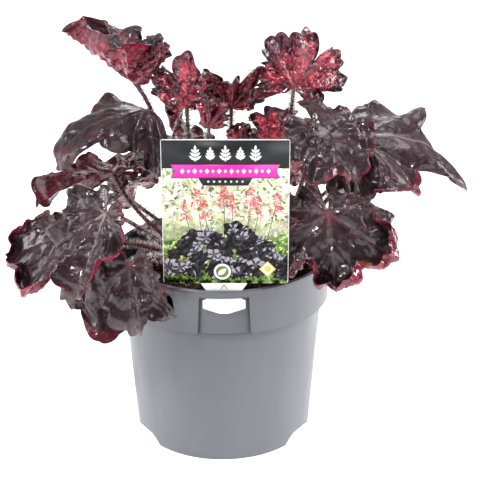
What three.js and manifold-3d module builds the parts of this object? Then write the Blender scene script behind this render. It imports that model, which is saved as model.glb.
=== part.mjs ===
// A heuchera (coral bells) with dark ruffled leaves, in a round nursery pot with a blank push-in label.
// Millimetres, +Z up. The origin is on the ground, in the middle of the plant's whole outline, and the label
// faces -Y. Everything below is laid out about the pot's own axis, and POT_AT then moves it to the origin.
// Each leaf is one solid, its blade and its petiole, and stands in its own socket in the crown.
import * as THREE from "three";
import { mergeVertices } from "three/addons/utils/BufferGeometryUtils.js";
import Module from "manifold-3d";

const wasm = await Module();
wasm.setup();

const { degToRad, clamp, smoothstep } = THREE.MathUtils;
const Z = new THREE.Vector3(0, 0, 1);

// ---------------------------------------------------------------- driving dimensions
const GAP = 0.35; // between pieces that rest in or against each other
const SLIVER = 0.04; // edges finer than this, left where a petiole runs into its blade, are smoothed away
const POT_AT = [-5, -12.8, 0]; // the middle of the circle that the pot stands on

const POT = {
  height: 150,
  baseRadius: 70, // outside, at the foot
  wallRadius: 78.4, // outside, just under the collar
  collarZ: 113.4, // underside of the step out to the collar
  collarRadius: 83.4, // outside, at the collar's lower edge
  rimRadius: 85, // outside, at the lip
  lipHeight: 3.6,
  lipWidth: 3.4,
  wall: 1.3,
  floorZ: 18, // underside of the raised floor
  floorThickness: 2,
  sides: 52,
};
const NOTCH = [[12, 0], [20, 3.7], [28, 6.8], [38, 8.2], [43, 7.8], [46.5, 4.6], [49.5, 0]]; // one of the four gaps
// in the foot: the distance from the pot's middle along Y, and the gap's height there
const DRAIN = { count: 8, circle: 46, radius: 5, sides: 10 };
const TONGUE_X = 2.1; // the middle of the label's tongue and of the recess that shows it, from the pot's axis
const RECESS = { topHalf: 18, bottomHalf: 19.3, openZ: 112, panelZ: 113.6, topZ: 144.2, panelRadius: 80.5 }; // open below
const LABEL = {
  halfWidth: 45,
  bottomZ: 156,
  topZ: 264.4,
  thickness: 0.8,
  y: -81.9, // the card's middle plane
  aside: 1.4, // the card's middle, to the right of its tongue
  cornerRadius: 1.5,
  shoulderHalf: 17,
  neckHalf: 13,
  headHalf: 15.6,
  headTopZ: 143.4,
  headSideZ: 135.9,
  headTipZ: 131.5,
  headTipHalf: 3.3,
};
const SOIL = { topZ: 135, lump: 1.1, rings: [0.34, 0.66, 0.9], sides: 40 };
const CROWN = { z: 133, radius: 25, height: 21, depth: 15, footRadius: 12, knob: 1.1, sides: 26 };

const BLADE = { thickness: 0.8, rings: [0.25, 0.5, 0.75, 1], steps: 32, petioleSteps: 8 };
const LOBES = 7;
const LOBE_STEP = degToRad(50); // between the middles of neighbouring lobes
const LOBE_LENGTHS = [0.6, 0.72, 0.88, 1, 0.88, 0.72, 0.6]; // of the blade's length, from the right basal lobe
const PAST_LAST = 1 / 3; // how far the blade runs past its last lobe's middle, in lobes
const TEETH_PER_LOBE = 3;
const ROUND_HUB = 0.3; // share of the blade over which the slope builds up
const CURL_FROM = 0.72; // share of the blade where the margin's curl starts

// ---------------------------------------------------------------- the leaves
// hub: where the petiole meets the blade. heading: where the midrib points, counter-clockwise from +X.
// pitch: the midrib's climb. roll: lifts the blade's left side. length: hub to tip.
// rise, droop and curl hold an angle for each lobe, from the right basal lobe round by the tip to the left one:
// the slope near the hub, what the slope gains by the margin, and what the last quarter gains on top.
// root and tier: the socket's azimuth and its row on the crown. arrive: the petiole's angle to the midrib.
const KINDS = {
  mature: { notch: 0.2, cleft: 1.7, deepening: 2, tooth: 0.02, ruffle: 24, waves: 1.15, pleat: 5, petiole: 1.7, perLobe: [1, 2, 4, 6] },
  young: { notch: 0.4, cleft: 1.7, deepening: 0.7, tooth: 0.02, ruffle: 26, waves: 1.3, pleat: 12, petiole: 1.45, perLobe: [1, 2, 4, 6] },
  bud: { notch: 0.38, cleft: 1.6, deepening: 0.7, tooth: 0, ruffle: 26, waves: 0.8, pleat: 16, petiole: 1.2, perLobe: [1, 2, 4, 4] },
};
const LEAVES = [
  { name: "leaf_a", kind: "mature", hub: [-66, 8, 282], heading: 189, pitch: 32, roll: 0, length: 66,
    lengths: [0.6, 0.7, 0.8, 1, 0.8, 0.72, 0.6],
    rise: [88, 70, 40, 12, 50, 70, 88], droop: [10, 5, 10, 0, 10, 5, 5], curl: [0, -40, 10, 10, -30, 0, 10],
    spread: 1, phase: 0.25, root: 155, tier: 1, arrive: 22 },
  { name: "young_b", kind: "young", hub: [-26, -5.5, 268], heading: 272, pitch: 78, roll: 0, length: 42,
    lengths: [0.5, 0.78, 0.88, 1, 0.7, 0.5, 0.36],
    rise: [35, 30, 20, 5, 20, 30, 35], droop: [10, 10, 10, 0, 10, 10, 10], curl: [0, 18, 0, 24, 0, 18, 0],
    spread: 0.86, ruffle: 23.4, pleat: 3.6, phase: 0.2, root: 175, tier: 2, arrive: 25 },
  { name: "bud_b", kind: "bud", hub: [-37, 22, 238], heading: 200, pitch: 62, roll: 0, length: 30,
    rise: [45, 40, 30, 20, 30, 40, 45], droop: [10, 10, 0, 0, 0, 10, 10], curl: [0, 0, 0, -30, 0, 0, 0],
    spread: 0.9, phase: 0.45, root: 112, tier: 1, arrive: 50 },
  { name: "young_c", kind: "young", hub: [7, 22, 258], heading: 268, pitch: 74, roll: 0, length: 37,
    lengths: [0.5, 0.8, 1.02, 0.82, 1.08, 0.85, 0.5],
    rise: [20, 15, 5, 0, 5, 15, 20], droop: [10, 10, 10, 0, 10, 10, 10], curl: [16, -16, 16, -16, 16, -16, 16],
    spread: 0.68, ruffle: 20.8, pleat: 8.4, phase: -0.05, root: 70, tier: 2, arrive: 30 },
  { name: "young_d", kind: "young", hub: [54, 0, 279], heading: 315, pitch: 70, roll: -40, length: 52,
    lengths: [0.62, 0.6, 0.9, 0.95, 0.86, 0.9, 0.5],
    rise: [20, 20, 10, 0, 10, 20, 20], droop: [10, 10, 10, 10, 10, 10, 10], curl: [9, 12, 12, 15, 12, 12, 9],
    spread: 0.8, ruffle: 23.4, pleat: 3.6, notch: 0.34, phase: 0.2, root: 350, tier: 1, arrive: 45 },
  { name: "bud_e", kind: "bud", hub: [-9.4, -13.5, 253.2], heading: 250, pitch: 80, roll: 0, length: 26,
    rise: [50, 45, 30, 10, 30, 45, 50], droop: [10, 10, 0, 0, 0, 10, 10], curl: [0, 0, 0, 0, 0, 0, 0],
    spread: 0.7, phase: 0.3, root: 215, tier: 2, arrive: 20 },
  { name: "bud_g", kind: "bud", hub: [13.8, -6.5, 239], heading: 290, pitch: 80, roll: 0, length: 18,
    rise: [50, 45, 30, 10, 30, 45, 50], droop: [10, 10, 0, 0, 0, 10, 10], curl: [0, 0, 0, 0, 0, 0, 0],
    spread: 0.7, phase: 0.3, root: 300, tier: 2, arrive: 20 },
  { name: "young_f", kind: "young", hub: [40.3, -5, 240], heading: 280, pitch: 75, roll: 0, length: 32,
    rise: [40, 35, 20, 0, 20, 35, 40], droop: [10, 10, 10, 0, 10, 10, 10], curl: [0, 16, 0, 16, 0, 16, 0],
    spread: 0.85, ruffle: 20.8, pleat: 8.4, phase: 0.8, root: 330, tier: 1, arrive: 35 },
  { name: "leaf_g", kind: "mature", hub: [-56, -9, 265], heading: 190, pitch: 2, roll: 0, length: 88,
    lengths: [0.2, 0.3, 0.62, 1, 0.42, 0.66, 0.5], notch: 0.25,
    rise: [-50, -40, 5, 0, -40, -60, -60], droop: [0, -10, -20, -50, -30, -20, -20], curl: [0, 0, 0, -20, 0, 0, 0],
    spread: 1, phase: 0.15, root: 196, tier: 1, arrive: 75 },
  { name: "leaf_h", kind: "mature", hub: [-85, 14, 208], heading: 187, pitch: -3, roll: 35, length: 68,
    lengths: [0.3, 0.4, 0.6, 1, 0.6, 0.5, 0.4],
    rise: [0, 0, 0, 0, 0, 0, 0], droop: [-20, -20, -20, -20, -10, 0, 0], curl: [0, 0, 0, 0, 20, 20, 0],
    spread: 1, phase: 0.5, root: 172, tier: 0, arrive: 75 },
  { name: "leaf_i", kind: "mature", hub: [-84, -60, 201], heading: 232, pitch: -52, roll: 0, length: 66,
    lengths: [0.38, 0.6, 0.86, 1, 0.55, 0.3, 0.22],
    rise: [25, 15, 10, 5, 0, 10, 15], droop: [-20, -20, -20, -20, -20, -20, -20], curl: [0, 20, 0, 10, 70, 60, 0],
    spread: 1, phase: 0.25, root: 218, tier: 0, arrive: 70 },
  { name: "leaf_j", kind: "mature", hub: [-125, -13, 165], heading: 222, pitch: -45, roll: -10, length: 66,
    lengths: [0.35, 0.5, 0.9, 1, 0.48, 0.38, 0.3],
    rise: [10, 10, 5, 0, 5, 10, 10], droop: [-20, -20, -20, -20, -20, -20, -20], curl: [0, 40, 70, 80, 30, 0, 0],
    spread: 1, phase: 0.65, root: 188, tier: 0, arrive: 70 },
  { name: "leaf_k", kind: "mature", hub: [-97, -56, 170], heading: 300, pitch: -72, roll: 45, length: 72,
    lengths: [0.3, 0.42, 0.66, 1, 0.62, 0.35, 0.25],
    rise: [-15, -15, -10, 0, 0, 0, 0], droop: [-15, -15, -10, -10, 0, 0, 0], curl: [0, 0, 0, 20, 0, 0, 0],
    spread: 0.9, phase: 0.9, root: 204, tier: 0, arrive: 70 },
  { name: "leaf_l", kind: "mature", hub: [-66, -79, 169], heading: 262, pitch: -70, roll: 18, length: 54,
    lengths: [0.3, 0.42, 0.72, 1, 0.95, 0.38, 0.3],
    rise: [-5, -5, 0, 0, 0, 5, 10], droop: [-10, -10, -10, -15, -10, -10, -10], curl: [0, 0, 0, 0, 0, 0, 0],
    spread: 0.9, phase: 0.35, root: 236, tier: 0, arrive: 70 },
  { name: "leaf_m", kind: "mature", hub: [72, -38, 256], heading: 318, pitch: -24, roll: 18, length: 47,
    lengths: [0.62, 0.76, 0.92, 1, 0.9, 0.85, 0.75],
    rise: [20, 15, 5, 5, 5, 15, 20], droop: [-40, -40, -30, -30, -30, -40, -40], curl: [30, 60, 20, 0, 30, 30, 30],
    notch: 0.12, spread: 1, phase: 0.45, root: 325, tier: 0, arrive: 75 },
  { name: "leaf_n", kind: "mature", hub: [100, -8, 244], heading: 355, pitch: 12, roll: 0, length: 108,
    lengths: [0.46, 0.6, 0.68, 0.74, 0.66, 0.6, 0.4], notch: 0.22,
    rise: [-40, -40, -25, 8, 15, 20, 20], droop: [-30, -30, -40, -75, -40, -10, 0], curl: [0, 20, 0, 0, 0, 10, 0],
    strand: 0.24, spread: 1, phase: 0.05, root: 352, tier: 0, arrive: 75 },
  { name: "leaf_o", kind: "mature", hub: [77, -65, 204], heading: 285, pitch: -65, roll: 15, length: 70,
    lengths: [0.38, 0.55, 0.7, 0.97, 1, 0.42, 0.28],
    rise: [10, 5, 0, 0, 0, 5, 10], droop: [-10, -10, -10, -10, -20, -10, -10], curl: [20, 0, 30, 80, 80, 20, 0],
    spread: 1, phase: 0.55, root: 306, tier: 0, arrive: 70 },
  { name: "bud_p", kind: "bud", hub: [42, -58, 164], heading: 300, pitch: -5, roll: 0, length: 22,
    rise: [10, 5, 0, 0, 0, 5, 10], droop: [-20, -20, -20, -20, -20, -20, -20], curl: [0, 0, 0, 0, 0, 0, 0],
    spread: 1, phase: 0.8, root: 286, tier: 0, arrive: 80 },
  { name: "leaf_q", kind: "mature", hub: [54, 48, 240], heading: 60, pitch: -10, roll: 0, length: 50,
    rise: [10, 10, 5, 0, 5, 10, 10], droop: [-20, -20, -20, -20, -20, -20, -20], curl: [0, 0, 0, 0, 0, 0, 0],
    spread: 1, phase: 0.6, root: 30, tier: 1, arrive: 70 },
  { name: "leaf_r", kind: "mature", hub: [92, 40, 190], heading: 12, pitch: -32, roll: 0, length: 60,
    rise: [10, 10, 5, 0, 5, 10, 10], droop: [-30, -30, -30, -30, -30, -30, -30], curl: [0, 20, 0, 0, 0, 20, 0],
    spread: 1, phase: 0.7, root: 22, tier: 0, arrive: 70 },
  { name: "leaf_s", kind: "mature", hub: [50, 86, 205], heading: 68, pitch: -30, roll: 0, length: 58,
    rise: [10, 10, 5, 0, 5, 10, 10], droop: [-30, -30, -30, -30, -30, -30, -30], curl: [0, 20, 0, 0, 0, 20, 0],
    spread: 1, phase: 0.2, root: 56, tier: 0, arrive: 70 },
  { name: "leaf_t", kind: "mature", hub: [-2, 92, 172], heading: 95, pitch: -45, roll: 0, length: 62,
    rise: [10, 10, 5, 0, 5, 10, 10], droop: [-30, -30, -30, -30, -30, -30, -30], curl: [0, 20, 0, 0, 0, 20, 0],
    spread: 1, phase: 0.9, root: 86, tier: 0, arrive: 70 },
  { name: "leaf_u", kind: "mature", hub: [-46, 82, 212], heading: 125, pitch: -25, roll: 0, length: 58,
    rise: [10, 10, 5, 0, 5, 10, 10], droop: [-30, -30, -30, -30, -30, -30, -30], curl: [0, 20, 0, 0, 0, 20, 0],
    spread: 1, phase: 0.5, root: 116, tier: 0, arrive: 70 },
  { name: "leaf_w", kind: "mature", hub: [4, 49, 205], heading: 82, pitch: 4, roll: 0, length: 43,
    rise: [20, 15, 10, 5, 10, 15, 20], droop: [-30, -30, -30, -30, -30, -30, -30], curl: [0, 20, 0, 0, 0, 20, 0],
    spread: 1, phase: 0.35, root: 95, tier: 1, arrive: 75 },
  { name: "leaf_v", kind: "mature", hub: [-86, 66, 174], heading: 150, pitch: -38, roll: 0, length: 62,
    rise: [10, 10, 5, 0, 5, 10, 10], droop: [-30, -30, -30, -30, -30, -30, -30], curl: [0, 20, 0, 0, 0, 20, 0],
    spread: 1, phase: 0.4, root: 148, tier: 0, arrive: 70 },
];
const TIERS = [
  { polar: 68, lean: 58 }, // the socket's place on the crown and the petiole's first direction, from the vertical
  { polar: 43, lean: 36 },
  { polar: 17, lean: 14 },
];
const SOCKET_DEPTH = 3.5;

const leaves = LEAVES.map((leaf) => ({ lengths: LOBE_LENGTHS, ...KINDS[leaf.kind], ...leaf }));

// ---------------------------------------------------------------- solids
// A closed geometry as a manifold-3d solid.
function solid(geometry) {
  const bare = new THREE.BufferGeometry().setAttribute("position", geometry.getAttribute("position"));
  if (geometry.index) bare.setIndex(geometry.index);
  const merged = mergeVertices(bare, 1e-4);
  return new wasm.Manifold(
    new wasm.Mesh({
      numProp: 3,
      vertProperties: new Float32Array(merged.attributes.position.array),
      triVerts: new Uint32Array(merged.index.array),
    }),
  );
}

// A manifold-3d solid as a geometry.
function geometryOf(manifold) {
  const mesh = manifold.getMesh();
  const points = new Float32Array(mesh.numVert * 3);
  for (let i = 0; i < mesh.numVert; i++) {
    points.set(mesh.vertProperties.subarray(i * mesh.numProp, i * mesh.numProp + 3), i * 3);
  }
  return new THREE.BufferGeometry()
    .setAttribute("position", new THREE.BufferAttribute(points, 3))
    .setIndex(new THREE.BufferAttribute(mesh.triVerts, 1));
}

// A profile of [radius, z] points turned about the Z axis.
function turned(profile, sides) {
  const points = profile.map(([r, z]) => new THREE.Vector2(r, z));
  return new THREE.LatheGeometry(points, sides).rotateX(Math.PI / 2);
}

// A box between two corners.
function block([x0, y0, z0], [x1, y1, z1]) {
  return new THREE.BoxGeometry(x1 - x0, y1 - y0, z1 - z0).translate((x0 + x1) / 2, (y0 + y1) / 2, (z0 + z1) / 2);
}

// A round bar along a curve.
function bar(curve, radius, steps, sides = 6) {
  const section = new THREE.Shape();
  for (let i = 0; i < sides; i++) {
    const a = (2 * Math.PI * i) / sides;
    section[i ? "lineTo" : "moveTo"](radius * Math.cos(a), radius * Math.sin(a));
  }
  section.closePath();
  return new THREE.ExtrudeGeometry(section, { steps, extrudePath: curve, bevelEnabled: false });
}

// ---------------------------------------------------------------- leaf
// The value of a list at lobe coordinate q, eased between the lobes' middles.
function along(list, q) {
  const i = clamp(Math.floor(q), 0, list.length - 2);
  return list[i] + (list[i + 1] - list[i]) * smoothstep(q - i, 0, 1);
}

// Points of the blade's middle surface on the radial line q, at each share s of the way out.
function radialLine(leaf, q, shares) {
  const { ruffle, waves, pleat, notch, cleft, deepening, tooth, lengths, strand = 0 } = leaf;
  const theta = (q - (LOBES - 1) / 2) * LOBE_STEP * leaf.spread;
  const betweenLobes = (1 - Math.abs(Math.cos(Math.PI * q))) ** cleft;
  const betweenTeeth = 1 - Math.abs(Math.cos(Math.PI * TEETH_PER_LOBE * q));
  const wave =
    0.62 * Math.sin(2 * Math.PI * (waves * q + leaf.phase)) +
    0.6 * Math.sin(2 * Math.PI * (0.41 * waves * q + 2.1 * leaf.phase + 0.3));
  const slope = (s) =>
    along(leaf.rise, q) * Math.min(1, s / ROUND_HUB) +
    along(leaf.droop, q) * s +
    along(leaf.curl, q) * smoothstep(s, CURL_FROM, 1) +
    ruffle * wave * s ** 1.5 -
    pleat * s * Math.cos(2 * Math.PI * q);
  const points = [];
  let out = 0;
  let up = 0;
  let step = 0;
  for (const share of shares) {
    for (; step < Math.round(share * BLADE.steps); step++) {
      const a = degToRad(slope((step + 0.5) / BLADE.steps));
      out += Math.cos(a) / BLADE.steps;
      up += Math.sin(a) / BLADE.steps;
    }
    const reach =
      leaf.length *
      (along(lengths, q) + strand * Math.exp(-(((q - 3) / 0.2) ** 2))) *
      (1 - notch * share ** deepening * betweenLobes) *
      (1 - tooth * share ** 6 * betweenTeeth);
    points.push(new THREE.Vector3(reach * out * Math.cos(theta), reach * out * Math.sin(theta), reach * up));
  }
  return points;
}

// Where a ring of the blade has its points: so many to each lobe, one always in the lobe's middle.
function lobePlaces(perLobe) {
  const places = [-PAST_LAST];
  for (let i = 0; i <= (LOBES - 1) * perLobe; i++) places.push(i / perLobe);
  places.push(LOBES - 1 + PAST_LAST);
  return places;
}

// The triangles of the strip between two rings whose points lie at different places round the blade.
function stitch(inner, outer) {
  const faces = [];
  let i = 0;
  let j = 0;
  while (i < inner.length - 1 || j < outer.length - 1) {
    const stepOuter = i === inner.length - 1 || (j < outer.length - 1 && outer[j + 1].q <= inner[i + 1].q + 1e-9);
    if (stepOuter) {
      faces.push([inner[i].index, outer[j].index, outer[j + 1].index]);
      j += 1;
    } else {
      faces.push([inner[i].index, outer[j].index, inner[i + 1].index]);
      i += 1;
    }
  }
  return faces;
}

// The blade in its own frame, +X along the midrib and +Z out of the upper face.
function blade(leaf) {
  const points = [new THREE.Vector3()];
  const rings = BLADE.rings.map((share, k) =>
    lobePlaces(leaf.perLobe[k]).map((q) => ({ q, index: points.push(radialLine(leaf, q, [share])[0]) - 1 })),
  );
  const faces = stitch([{ q: 0, index: 0 }], rings[0]);
  for (let k = 1; k < rings.length; k++) faces.push(...stitch(rings[k - 1], rings[k]));

  const sheet = new THREE.BufferGeometry().setFromPoints(points).setIndex(faces.flat());
  sheet.computeVertexNormals();
  const normals = points.map((_, i) => new THREE.Vector3().fromBufferAttribute(sheet.attributes.normal, i));
  const side = (sign) => points.map((p, i) => p.clone().addScaledVector(normals[i], (sign * BLADE.thickness) / 2));

  const last = rings[rings.length - 1];
  const inside = rings.slice(0, -1);
  const edge = [{ index: 0 }, ...inside.map((r) => r[0]), ...last, ...inside.map((r) => r[r.length - 1]).reverse()].map(
    (p) => p.index,
  );
  const n = points.length;
  const walls = edge.flatMap((a, i) => {
    const b = edge[(i + 1) % edge.length];
    return [[a, a + n, b + n], [a, b + n, b]];
  });
  const under = faces.map(([a, b, c]) => [a + n, c + n, b + n]);
  return new THREE.BufferGeometry()
    .setFromPoints([...side(1), ...side(-1)])
    .setIndex([...faces, ...under, ...walls].flat());
}

// The blade's own axes in the part's frame.
function bladeAxes(leaf) {
  const heading = degToRad(leaf.heading);
  const pitch = degToRad(leaf.pitch);
  const midrib = new THREE.Vector3(
    Math.cos(pitch) * Math.cos(heading),
    Math.cos(pitch) * Math.sin(heading),
    Math.sin(pitch),
  );
  const left = new THREE.Vector3(-Math.sin(heading), Math.cos(heading), 0).applyAxisAngle(midrib, degToRad(leaf.roll));
  return { midrib, left, normal: midrib.clone().cross(left) };
}

// The petiole's middle line, from its socket to the hub. back and past run it on straight at either end.
function petioleLine(leaf, back = 0, past = 0.45) {
  const { midrib, normal } = bladeAxes(leaf);
  const tier = TIERS[leaf.tier];
  const azimuth = degToRad(leaf.root);
  const from = (angle, across, up) => {
    const a = degToRad(angle);
    return new THREE.Vector3(
      across * Math.sin(a) * Math.cos(azimuth),
      across * Math.sin(a) * Math.sin(azimuth),
      up * Math.cos(a),
    );
  };
  const lean = from(tier.lean, 1, 1);
  const foot = from(tier.polar, CROWN.radius, CROWN.height)
    .add(new THREE.Vector3(0, 0, CROWN.z))
    .addScaledVector(lean, -SOCKET_DEPTH - back);
  const arrive = degToRad(leaf.arrive);
  const arrival = midrib.clone().multiplyScalar(Math.cos(arrive)).addScaledVector(normal, Math.sin(arrive));
  const end = new THREE.Vector3(...leaf.hub).addScaledVector(arrival, past);
  const span = foot.distanceTo(end);
  return new THREE.CubicBezierCurve3(
    foot,
    foot.clone().addScaledVector(lean, span * 0.42),
    end.clone().addScaledVector(arrival, -span * 0.3),
    end,
  );
}

function leafSolid(leaf) {
  const { midrib, left, normal } = bladeAxes(leaf);
  const place = new THREE.Matrix4().makeBasis(midrib, left, normal).setPosition(...leaf.hub);
  const petiole = bar(petioleLine(leaf), leaf.petiole, BLADE.petioleSteps);
  return solid(blade(leaf).applyMatrix4(place)).add(solid(petiole)).asOriginal().simplify(SLIVER);
}

// The hole that a leaf's petiole needs in the crown.
function socket(leaf) {
  return solid(bar(petioleLine(leaf, GAP), leaf.petiole + GAP, BLADE.petioleSteps));
}

// ---------------------------------------------------------------- crown and soil
function crownProfile(grow) {
  const profile = [[0, CROWN.z - CROWN.depth - grow], [CROWN.footRadius + grow, CROWN.z - CROWN.depth - grow]];
  const steps = 6;
  for (let i = 0; i <= steps; i++) {
    const a = (Math.PI / 2) * (i / steps);
    profile.push([(CROWN.radius + grow) * Math.cos(a), CROWN.z + (CROWN.height + grow) * Math.sin(a)]);
  }
  profile[profile.length - 1][0] = 0;
  return profile;
}

function crown() {
  const sockets = leaves.map(socket);
  return geometryOf(sockets.reduce((body, hole) => body.subtract(hole), solid(turned(crownProfile(0), CROWN.sides))));
}

function soil() {
  const bottomZ = POT.floorZ + POT.floorThickness + GAP;
  const inside = (z) => innerRadius(z) - GAP;
  const profile = [
    [0, bottomZ],
    [inside(bottomZ), bottomZ],
    [inside(POT.collarZ) - 0.4, POT.collarZ - 2],
    [inside(POT.collarZ) - 0.4, SOIL.topZ - 0.5],
    ...SOIL.rings.toReversed().map((share) => [share * inside(POT.collarZ), SOIL.topZ]),
    [0, SOIL.topZ],
  ];
  const body = turned(profile, SOIL.sides);
  const at = body.attributes.position;
  for (let i = 0; i < at.count; i++) {
    if (at.getZ(i) < SOIL.topZ - 0.1) continue;
    const lump = Math.sin(at.getX(i) * 0.23 + 1) * Math.cos(at.getY(i) * 0.27);
    at.setZ(i, at.getZ(i) + SOIL.lump * lump);
  }
  return geometryOf(solid(body).subtract(solid(turned(crownProfile(GAP), CROWN.sides))));
}

// ---------------------------------------------------------------- pot
// The inside radius of the wall under the collar.
function innerRadius(z) {
  return POT.baseRadius + ((POT.wallRadius - POT.baseRadius) * z) / POT.collarZ - POT.wall;
}

function potProfile() {
  const { wall, floorZ, floorThickness, height, lipHeight, lipWidth, rimRadius, collarZ, collarRadius } = POT;
  const lipZ = height - lipHeight;
  const underLip = rimRadius - 0.9;
  return [
    [0, floorZ],
    [innerRadius(floorZ), floorZ],
    [innerRadius(0), 0],
    [POT.baseRadius, 0],
    [POT.wallRadius, collarZ],
    [collarRadius, collarZ + 0.4],
    [underLip, lipZ - 0.4],
    [rimRadius, lipZ],
    [rimRadius, height - 0.8],
    [rimRadius - 0.8, height],
    [rimRadius - lipWidth + 0.6, height],
    [rimRadius - lipWidth, height - 0.6],
    [rimRadius - lipWidth, lipZ - 0.4],
    [underLip - wall, lipZ - 1.4],
    [collarRadius - wall, collarZ + 0.4 + wall],
    [POT.wallRadius - wall, collarZ + wall],
    [innerRadius(floorZ + floorThickness), floorZ + floorThickness],
    [0, floorZ + floorThickness],
  ];
}

// The gaps between the feet on one side of the middle, as a bar of that section right through the pot along X.
function notch(side) {
  const [first, last] = [NOTCH[0], NOTCH[NOTCH.length - 1]];
  const outline = [[first[0], -1], ...NOTCH, [last[0], -1]];
  const section = new THREE.Shape(outline.map(([y, z]) => new THREE.Vector2(side * y, z)));
  const depth = 4 * POT.rimRadius;
  return new THREE.ExtrudeGeometry(section, { depth, bevelEnabled: false })
    .translate(0, 0, -depth / 2)
    .rotateX(Math.PI / 2)
    .rotateZ(Math.PI / 2);
}

function pot() {
  const { topHalf, bottomHalf, openZ, panelZ, topZ, panelRadius } = RECESS;
  const { wall, height, lipHeight, rimRadius, sides } = POT;
  const ring = (r0, r1, z0, z1) => solid(turned([[r0, z0], [r1, z0], [r1, z1], [r0, z1], [r0, z0]], sides));
  const front = (half0, half1, z0, z1) => {
    const outline = [[-half0, z0], [half0, z0], [half1, z1], [-half1, z1]];
    const section = new THREE.Shape(outline.map(([x, z]) => new THREE.Vector2(TONGUE_X + x, z)));
    return solid(new THREE.ExtrudeGeometry(section, { depth: 2 * rimRadius, bevelEnabled: false }).rotateX(Math.PI / 2));
  };

  const lipZ = height - lipHeight;
  const panelBack = ring(panelRadius - wall, rimRadius - 1.2, panelZ, lipZ + 0.5).intersect(
    front(bottomHalf + wall, topHalf + wall, panelZ, lipZ + 0.5),
  );
  const hollow = ring(panelRadius, 2 * rimRadius, openZ, topZ).intersect(front(bottomHalf, topHalf, openZ, topZ));
  const slotHalf = LABEL.neckHalf + 0.8;
  const slotY = LABEL.thickness / 2 + GAP;
  const slot = solid(
    block([TONGUE_X - slotHalf, LABEL.y - slotY, topZ - 1], [TONGUE_X + slotHalf, LABEL.y + slotY, height + 1]),
  );

  let body = solid(turned(potProfile(), sides)).add(panelBack).subtract(hollow).subtract(slot);
  body = body.subtract(solid(notch(-1))).subtract(solid(notch(1)));
  for (let i = 0; i < DRAIN.count; i++) {
    const a = (2 * Math.PI * (i + 0.5)) / DRAIN.count;
    const hole = new THREE.CylinderGeometry(DRAIN.radius, DRAIN.radius, 3 * POT.floorThickness, DRAIN.sides)
      .rotateX(Math.PI / 2)
      .translate(DRAIN.circle * Math.cos(a), DRAIN.circle * Math.sin(a), POT.floorZ + POT.floorThickness / 2);
    body = body.subtract(solid(hole));
  }
  return geometryOf(body);
}

// ---------------------------------------------------------------- label
function label() {
  const { halfWidth, bottomZ, topZ, cornerRadius: r, shoulderHalf, neckHalf, headHalf } = LABEL;
  const { headTopZ, headSideZ, headTipZ, headTipHalf, thickness, y, aside } = LABEL;
  const edge = (side) => [
    [side * headTipHalf, headTipZ],
    [side * headHalf, headSideZ],
    [side * headHalf, headTopZ - 1.5],
    [side * neckHalf, headTopZ],
    [side * neckHalf, POT.height],
    [side * shoulderHalf, bottomZ],
    [side * (halfWidth - r) + aside, bottomZ],
    [side * halfWidth + aside, bottomZ + r],
    [side * halfWidth + aside, topZ - r],
    [side * (halfWidth - r) + aside, topZ],
  ];
  const card = new THREE.Shape([...edge(1), ...edge(-1).toReversed()].map(([x, z]) => new THREE.Vector2(x, z)));
  return new THREE.ExtrudeGeometry(card, { depth: thickness, bevelEnabled: false })
    .rotateX(Math.PI / 2)
    .translate(TONGUE_X, y + thickness / 2, 0);
}

// ---------------------------------------------------------------- the whole
const MATERIALS = {
  pot: new THREE.MeshStandardMaterial({ color: "#8d9096", roughness: 0.45, metalness: 0 }),
  soil: new THREE.MeshStandardMaterial({ color: "#2a1d14", roughness: 1, metalness: 0 }),
  crown: new THREE.MeshStandardMaterial({ color: "#4a2a22", roughness: 0.9, metalness: 0 }),
  label: new THREE.MeshStandardMaterial({ color: "#f2f2f0", roughness: 0.35, metalness: 0 }),
  mature: new THREE.MeshStandardMaterial({ color: "#2e1f25", roughness: 0.35, metalness: 0 }),
  young: new THREE.MeshStandardMaterial({ color: "#7a1428", roughness: 0.3, metalness: 0 }),
  bud: new THREE.MeshStandardMaterial({ color: "#8a1a30", roughness: 0.3, metalness: 0 }),
};

function piece(name, geometry, material) {
  const mesh = new THREE.Mesh(geometry, MATERIALS[material]);
  mesh.name = name;
  return mesh;
}

const plant = new THREE.Group();
plant.position.set(...POT_AT);
plant.add(piece("pot", pot(), "pot"));
plant.add(piece("soil", soil(), "soil"));
plant.add(piece("crown", crown(), "crown"));
plant.add(piece("label", label(), "label"));
for (const leaf of leaves) plant.add(piece(leaf.name, geometryOf(leafSolid(leaf)), leaf.kind));

const whole = new THREE.Group();
whole.add(plant);

export default whole;
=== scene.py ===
import math
import random

import bpy
import numpy as np
from mathutils import Matrix, Vector


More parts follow.
